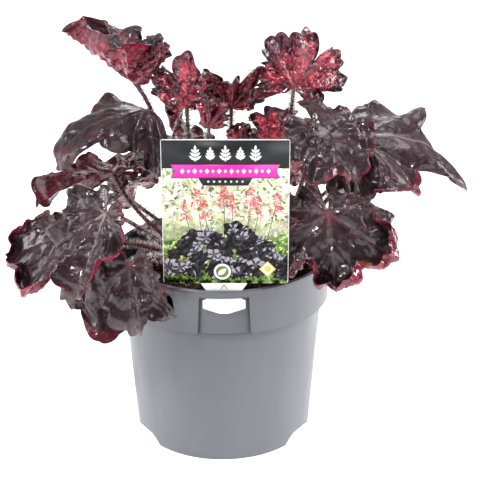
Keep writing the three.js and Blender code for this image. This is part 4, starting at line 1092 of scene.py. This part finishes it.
class Print(Parts):
    """A plain garden picture without any writing: flower spikes over dark leaves, under a banded header."""

    def lay(self, outline, layer, colour, back=False):
        """One plate of ink, cut to the print's edges."""
        outline = clipped(outline, LEFT, RIGHT, LOW, HIGH)
        if len(outline) > 2:
            y = (CARD_BACK, CARD_BACK + INK * layer) if back else (CARD_FRONT - INK * layer, CARD_FRONT)
            self.add(*prism(outline, *y, axis=1), INK_NAMES.index(colour))

    def backdrop(self, rng):
        """Blurred growth behind: light stems and dabs."""
        self.lay(box(LEFT, RIGHT, LOW, HIGH), 1, "border")
        for n in range(30):
            x, z = rng.uniform(LEFT, RIGHT), LOW + rng.uniform(34, 74)
            dab = disc(x, z, rng.uniform(0.8, 2.0), rng.uniform(0.3, 0.9), 12, rng.uniform(0, 3), 0.3, 3)
            self.lay(dab, 1.2 + 0.03 * n, rng.choice(["white", "rose", "green", "white", "stem"]))

    def header(self):
        """Sprigs on a dark strip, over a band with cut ends and a row of lozenges, and a tab with dots."""
        self.lay(box(LEFT, RIGHT, HEADER_LOW, HIGH), 3, "charcoal")
        for k in range(5):
            x, z, size = CARD_X + (k - 2) * 10.5, HIGH - 10.3, 1.0 if k % 2 else 1.25
            self.lay(box(x - 0.28, x + 0.28, z - 4.2 * size, z + 3.6 * size), 4, "white")
            for n in range(3):
                foot, length = z + (-3.4 + n * 2.3) * size, (4.4 - n * 0.8) * size
                for side in (-1, 1):
                    self.lay(petal(x, foot, length, 0.95, 90 - side * 52), 4, "white")
            self.lay(petal(x, z + 2.3 * size, 3.2 * size, 0.85, 90), 4, "white")

        z = BAND_Z
        ends = [(-38, -4.6), (38, -4.6), (35.2, 0), (38, 4.6), (-38, 4.6), (-35.2, 0)]
        self.lay([(CARD_X + a * 1.016, z + b * 1.13) for a, b in ends], 5, "plum")
        self.lay([(CARD_X + a, z + b) for a, b in ends], 6, "magenta")
        for k in range(15):
            size = 1.15 if k % 2 else 1.6
            self.lay(lozenge(CARD_X + (k - 7) * 4.3, z, size, size * 1.25), 7, "white")
        tab = [(-19, -4.9), (-16, -10.6), (16, -10.6), (19, -4.9)]
        self.lay([(CARD_X + a, z + b) for a, b in tab], 4, "charcoal")
        for k in range(7):
            self.lay(disc(CARD_X + (k - 3) * 4, z - 7.7, 0.75, count=14), 5, "white")

    def mound(self, rng):
        """Lobed leaves in rows, most near black, some with a broad grey sheen, and a low fringe of green."""
        leaves = 84
        for n in range(leaves):
            row = n / leaves
            u = rng.uniform(-1.05, 1.05)
            x = CARD_X + u * 41
            z = LOW + 5 + (38 * (1 - 0.6 * abs(u) ** 2.4) * (1 - row) + rng.uniform(-2.5, 2.5))
            size, layer = rng.uniform(4.2, 8.0), 3 + row * 5
            turn, squash = rng.uniform(0, TURN), rng.uniform(0.55, 0.8)
            tilt, waves = turn * 0.2 - 0.3, rng.choice((5, 6, 7))
            self.lay(disc(x, z, size, size * squash, 40, tilt, 0.16, waves), layer, "black_leaf")
            if n % 3 == 0:  # a leaf turned to the light
                lit = disc(x, z + size * 0.08, size * 0.86, size * squash * 0.84, 40, tilt, 0.17, waves)
                self.lay(lit, layer + 0.05, "lilac_leaf")
                for k in range(waves):
                    a = math.degrees(tilt + (k + 0.5) * TURN / waves)
                    self.lay(petal(x, z, size * 0.8, size * 0.13, a, 8), layer + 0.10, "grey_leaf")
                continue
            for k in range(3):
                a, far = turn + rng.uniform(-0.9, 0.9), size * rng.uniform(0.3, 0.7)
                at = x + far * math.cos(a), z + far * squash * math.sin(a)
                half, thin = size * rng.uniform(0.16, 0.34), size * rng.uniform(0.06, 0.14)
                colour = rng.choice(("lilac_leaf", "grey_leaf", "grey_leaf"))
                self.lay(disc(*at, half, thin, 10, a, 0.25, 4), layer + 0.04 * (k + 1), colour)
        for n in range(15):
            x = LEFT + (n / 15) ** 1.6 * (RIGHT - LEFT) + rng.uniform(-2, 2)
            for k in range(5):
                blade = petal(x, LOW - 1, rng.uniform(5, 12 if n < 8 else 7), rng.uniform(0.8, 1.5),
                              90 + (k - 2) * 24)
                self.lay(blade, 9.5, "green" if (n + k) % 3 else "stem")

    def flowers(self, rng):
        """Each spike is a thin stem and a loose cone of small petals."""
        for u, rise, size in ((-29, 56, 1.5), (-20, 64, 2.2), (-15, 57, 1.4), (-1, 67, 2.4), (5, 60, 1.7),
                              (18, 65, 2.3), (24, 58, 1.5), (36, 61, 1.9)):
            x, z, foot = CARD_X + u, LOW + rise, CARD_X + u * 0.8
            stem = [(foot - 0.3, LOW + 30), (foot + 0.3, LOW + 30), (x + 0.2, z), (x - 0.2, z)]
            self.lay(stem, 2.3, "stem")
            for n in range(int(30 * size)):
                t = rng.random()
                at = x + rng.uniform(-1, 1) * size * 2.4 * (1 - 0.7 * t), z - 8 + 16 * t
                dab = disc(*at, rng.uniform(0.5, 1.0), rng.uniform(0.35, 0.6), 7, rng.uniform(0, 3))
                self.lay(dab, 2.6 + 0.02 * n, "coral" if rng.random() < 0.65 else "rose")

    def badges(self):
        """A round badge with a leaf, a small tile with a sun, and a chevron on the tongue."""
        x, z = CARD_X - 2.5, LOW + 9.0
        rings = ((6.9, "charcoal", 40), (6.2, "white", 40), (4.6, "green", 36))
        for n, (radius, colour, count) in enumerate(rings):
            self.lay(disc(x, z, radius, count=count), 11 + 0.6 * n, colour)
        self.lay(petal(x - 3.0, z - 2.3, 7.6, 1.9, 38, 20), 12.8, "white")
        x, z = CARD_X + 30, LOW + 11
        self.lay(lozenge(x, z, 6.2, 6.2), 11, "yellow")
        self.lay(lozenge(x, z, 5.0, 5.0), 11.6, "white")
        self.lay(disc(x, z, 2.5, wobble=0.12), 12.2, "yellow")
        chevron = [(-2.6, 151.4), (-1.9, 151.4), (0, 154.0), (1.9, 151.4), (2.6, 151.4), (0, 155.0)]
        self.add(*prism([(x + TONGUE_X, z) for x, z in chevron], CARD_FRONT - INK, CARD_FRONT, axis=1),
                 INK_NAMES.index("charcoal"))

    def reverse(self):
        """The card's back: two bands, and nine round marks with a flower in each."""
        self.lay(box(LEFT, RIGHT, HIGH - 16, HIGH), 1, "charcoal", back=True)
        self.lay(box(LEFT, RIGHT, HIGH - 18, HIGH - 16), 1, "magenta", back=True)
        for row in range(3):
            for k in range(3):
                x, z = CARD_X + (k - 1) * 26, HIGH - 36 - row * 26
                colour = ("green", "charcoal", "magenta")[(row + k) % 3]
                self.lay(disc(x, z, 8, count=32), 1, colour, back=True)
                self.lay(disc(x, z, 6.9, count=32), 2, "white", back=True)
                for n in range(5):
                    self.lay(petal(x, z, 5.6, 1.1, 90 + n * 72), 3, colour, back=True)


def make_print():
    picture, rng = Print(), random.Random(23)
    picture.backdrop(rng)
    picture.header()
    picture.mound(rng)
    picture.flowers(rng)
    picture.badges()
    picture.reverse()
    picture.make("label_print", [border_ink()] + [ink("ink_" + name, *look) for name, look in INKS.items()])


# ---------------------------------------------------------------- stage, metres
FLOOR_HALF, FLOOR_GLOW = 9.0, 0.72
LAMPS = (  # name, place, aimed at, width and height, radiance
    ("key", (-0.50, -0.70, 1.25), (0, 0, 0.24), (0.22, 0.20), 105.0),
    ("top", (0.25, 0.10, 1.40), (0, 0, 0.2), (0.7, 0.5), 6.0),
    ("right", (1.25, -0.15, 0.55), (0, 0, 0.15), (0.4, 0.9), 16.0),
    ("left", (-1.25, -0.05, 0.50), (0, 0, 0.15), (0.4, 0.9), 8.5),
    ("back", (0.1, 1.3, 0.9), (0, 0, 0.2), (1.0, 0.6), 3.0))
CAMERA_AT, CAMERA_TILT, SENSOR, LENS = (0.0087, -0.9128, 0.518), math.radians(68.12), 36.0, 92.625


def make_floor():
    mesh = bpy.data.meshes.new("floor")
    corners = box(-FLOOR_HALF, FLOOR_HALF, -FLOOR_HALF, FLOOR_HALF)
    mesh.from_pydata([(x, y, 0) for x, y in corners], [], [(0, 1, 2, 3)])
    mesh.materials.append(mottled("pale_floor", (0.8, 0.1), (3, 2), [(0.3, 0.90), (0.7, 0.92)],
                                  **{"Emission Color": (1, 1, 1, 1), "Emission Strength": FLOOR_GLOW}))
    add_object("floor", mesh)


def make_world():
    """A white studio: bright overhead and behind, darker in front, so that dark leaves take highlights."""
    world = bpy.data.worlds.new("studio")
    world.use_nodes = True
    tree = world.node_tree
    generated = node(tree, "ShaderNodeTexCoord").outputs["Generated"]
    way = node(tree, "ShaderNodeSeparateXYZ", {0: generated}).outputs
    above, behind = remap(tree, way["Z"], 0.0, 1.0, 0.0, 0.22), remap(tree, way["Y"], -0.3, 0.9, 0.04, 0.5)
    feed(tree.nodes["Background"], {"Strength": maths(tree, "ADD", above, behind), "Color": (1, 1, 1, 1)})
    bpy.context.scene.world = world


def make_lights_and_camera():
    for name, place, target, size, radiance in LAMPS:
        lamp = bpy.data.lights.new(name, "AREA")
        lamp.shape, lamp.size, lamp.size_y = "RECTANGLE", *size
        lamp.energy = radiance * math.pi * size[0] * size[1]
        light = add_object(name, lamp)
        light.location = place
        light.rotation_euler = (Vector(target) - Vector(place)).to_track_quat("-Z", "Y").to_euler()
    lens = bpy.data.cameras.new("camera")
    lens.sensor_width, lens.lens = SENSOR, LENS
    camera = add_object("camera", lens)
    camera.location, camera.rotation_euler = CAMERA_AT, (CAMERA_TILT, 0, 0)
    bpy.context.scene.camera = camera
    bpy.context.scene.view_settings.view_transform = "Standard"


for number, entry in enumerate(LEAVES):
    grow({**entry, "seed": number + 1})
make_pot()
make_crown()
make_soil()
make_label()
make_print()
make_floor()
make_world()
make_lights_and_camera()
